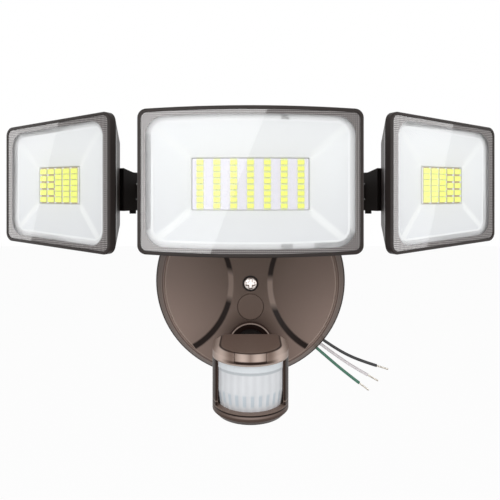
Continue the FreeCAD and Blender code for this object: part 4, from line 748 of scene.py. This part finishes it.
def cap_painted_light(coat, tone, axes):
    """Painted light and shade: the flat top, which renders dark, in a tone of its own; the sloping front
    light and dark in turn as reflections; a shade line round the top, a shadow under the clip and a highlight
    along the lower edge.
    """
    across, depth, up = axes
    # painted reflections: the sloping front light and dark in turn
    wave = ((across.size() - 4 * MM) * (math.tau / (11.5 * MM))).maths("COSINE") * 0.5 + 0.5
    front = coat.blended(wave, colour(124, 105, 95), colour(196, 176, 165))
    # painted light: the flat top given a tone of its own, apart from the front
    tone = coat.blended(up.beyond(-22.5 * MM, 0.1 * MM), front, colour(138, 116, 105))
    # painted shade line where the top meets the front
    tone = coat.blended(up.within(-23.1 * MM, -22.45 * MM, 0.3 * MM), tone, colour(58, 44, 38))
    # painted shadow under the clip, in the middle of the front
    centre = 1 - across.size().beyond(11 * MM, 8 * MM)
    tone = coat.blended(up.within(-28.1 * MM, -26.7 * MM, 0.5 * MM) * centre, tone, colour(52, 37, 31))
    # painted highlight along the lower edge
    return coat.blended(up.within(-29 * MM, -28.1 * MM, 0.3 * MM), tone, colour(166, 151, 142))


def shell_painted_light(coat, tone, axes):
    """Bars painted near black as a dark reflection, with a painted highlight on a bevel beside the lens and
    on a fine seam low down.
    """
    across, depth, up = axes
    # painted highlight on the bevel beside the lens
    tone = coat.blended(across.size().within(15.7 * MM, 17.1 * MM, 0.3 * MM), tone, colour(150, 131, 121))
    # painted highlight on a fine seam low down
    return coat.blended(up.within(-51 * MM, -50.5 * MM, 0.3 * MM), tone, colour(128, 113, 104))


def base_painted_light(coat, tone, axes):
    """Painted light and shade: a highlight on the lip, shade in a groove, a highlight below it and a foot
    darker downwards.
    """
    across, depth, up = axes
    # painted shade: the foot darker downwards
    foot_shade = up.beyond(-56.8 * MM, 3.6 * MM)
    tone = coat.blended(foot_shade, colour(44, 31, 26), colour(84, 69, 62))
    # painted highlight in the middle of the front
    painted_glint = up.within(-55.2 * MM, -54.2 * MM, 0.5 * MM) * (1 - across.size().beyond(10 * MM, 14 * MM))
    tone = coat.blended(painted_glint, tone, colour(136, 120, 112))
    # painted shade in the groove under the lip
    tone = coat.blended(up.within(-54.1 * MM, -53.4 * MM, 0.3 * MM), tone, colour(20, 9, 6))
    # painted highlight on the lip
    return coat.blended(up.beyond(-53.3 * MM, 0.2 * MM), tone, colour(122, 105, 96))


for piece, tint, light, shading in (
    ("cap", SENSOR_DARK, SENSOR_LIGHT, cap_painted_light),
    ("clip", SENSOR_DARK, SENSOR_LIGHT, cap_painted_light),
    # the shell's near-black tones are a painted dark reflection
    ("shell", colour(38, 26, 21), colour(50, 36, 30), shell_painted_light),
    ("base", SENSOR_DARK, SENSOR_LIGHT, base_painted_light),
):
    finished("sensor_" + piece, powder_coat(piece + "_coat", tint, light, 0.4, shading))

film = Finish("fresnel_film")
film_place = film.place()
film_across, film_depth, film_up = film.axes(film_place)
film_angle = film_across.maths("ARCTAN2", (film_depth - SENSOR_CENTRE) * -1)
film_facets = (film_angle * FACETS_PER_RADIAN).maths("COSINE") * 0.5 + 0.5
film_noise = film.node("TexNoise", values={"Vector": film_place, "Scale": 160.0, "Detail": 2.0})
film_tone = film.blended(film_facets * 0.4 + film_noise * 0.6, colour(206, 208, 211), colour(224, 226, 229))
film_tone = film.blended(film_up.within(-34.2 * MM, -32.6 * MM, 0.6 * MM), film_tone, colour(186, 191, 195))
film_tone = film.blended(film_up.beyond(-32.6 * MM, 0.6 * MM), film_tone, colour(216, 221, 225))
film_streaks = (film_angle * FACETS_PER_RADIAN).maths("SINE").beyond(0.2, 0.6)
film_low = film_up.within(-50.5 * MM, -44.4 * MM, 1.6 * MM) * film_streaks
film_tone = film.blended(film_low * 0.6, film_tone, colour(176, 190, 200))
film_tone = film.blended(film_across.size().beyond(16.3 * MM, 0.8 * MM), film_tone, colour(236, 238, 240))
film.surface({"Base Color": film_tone, "Roughness": film_noise * 0.1 + 0.3, "Specular IOR Level": 0.3})
finished("sensor_lens", film.material)
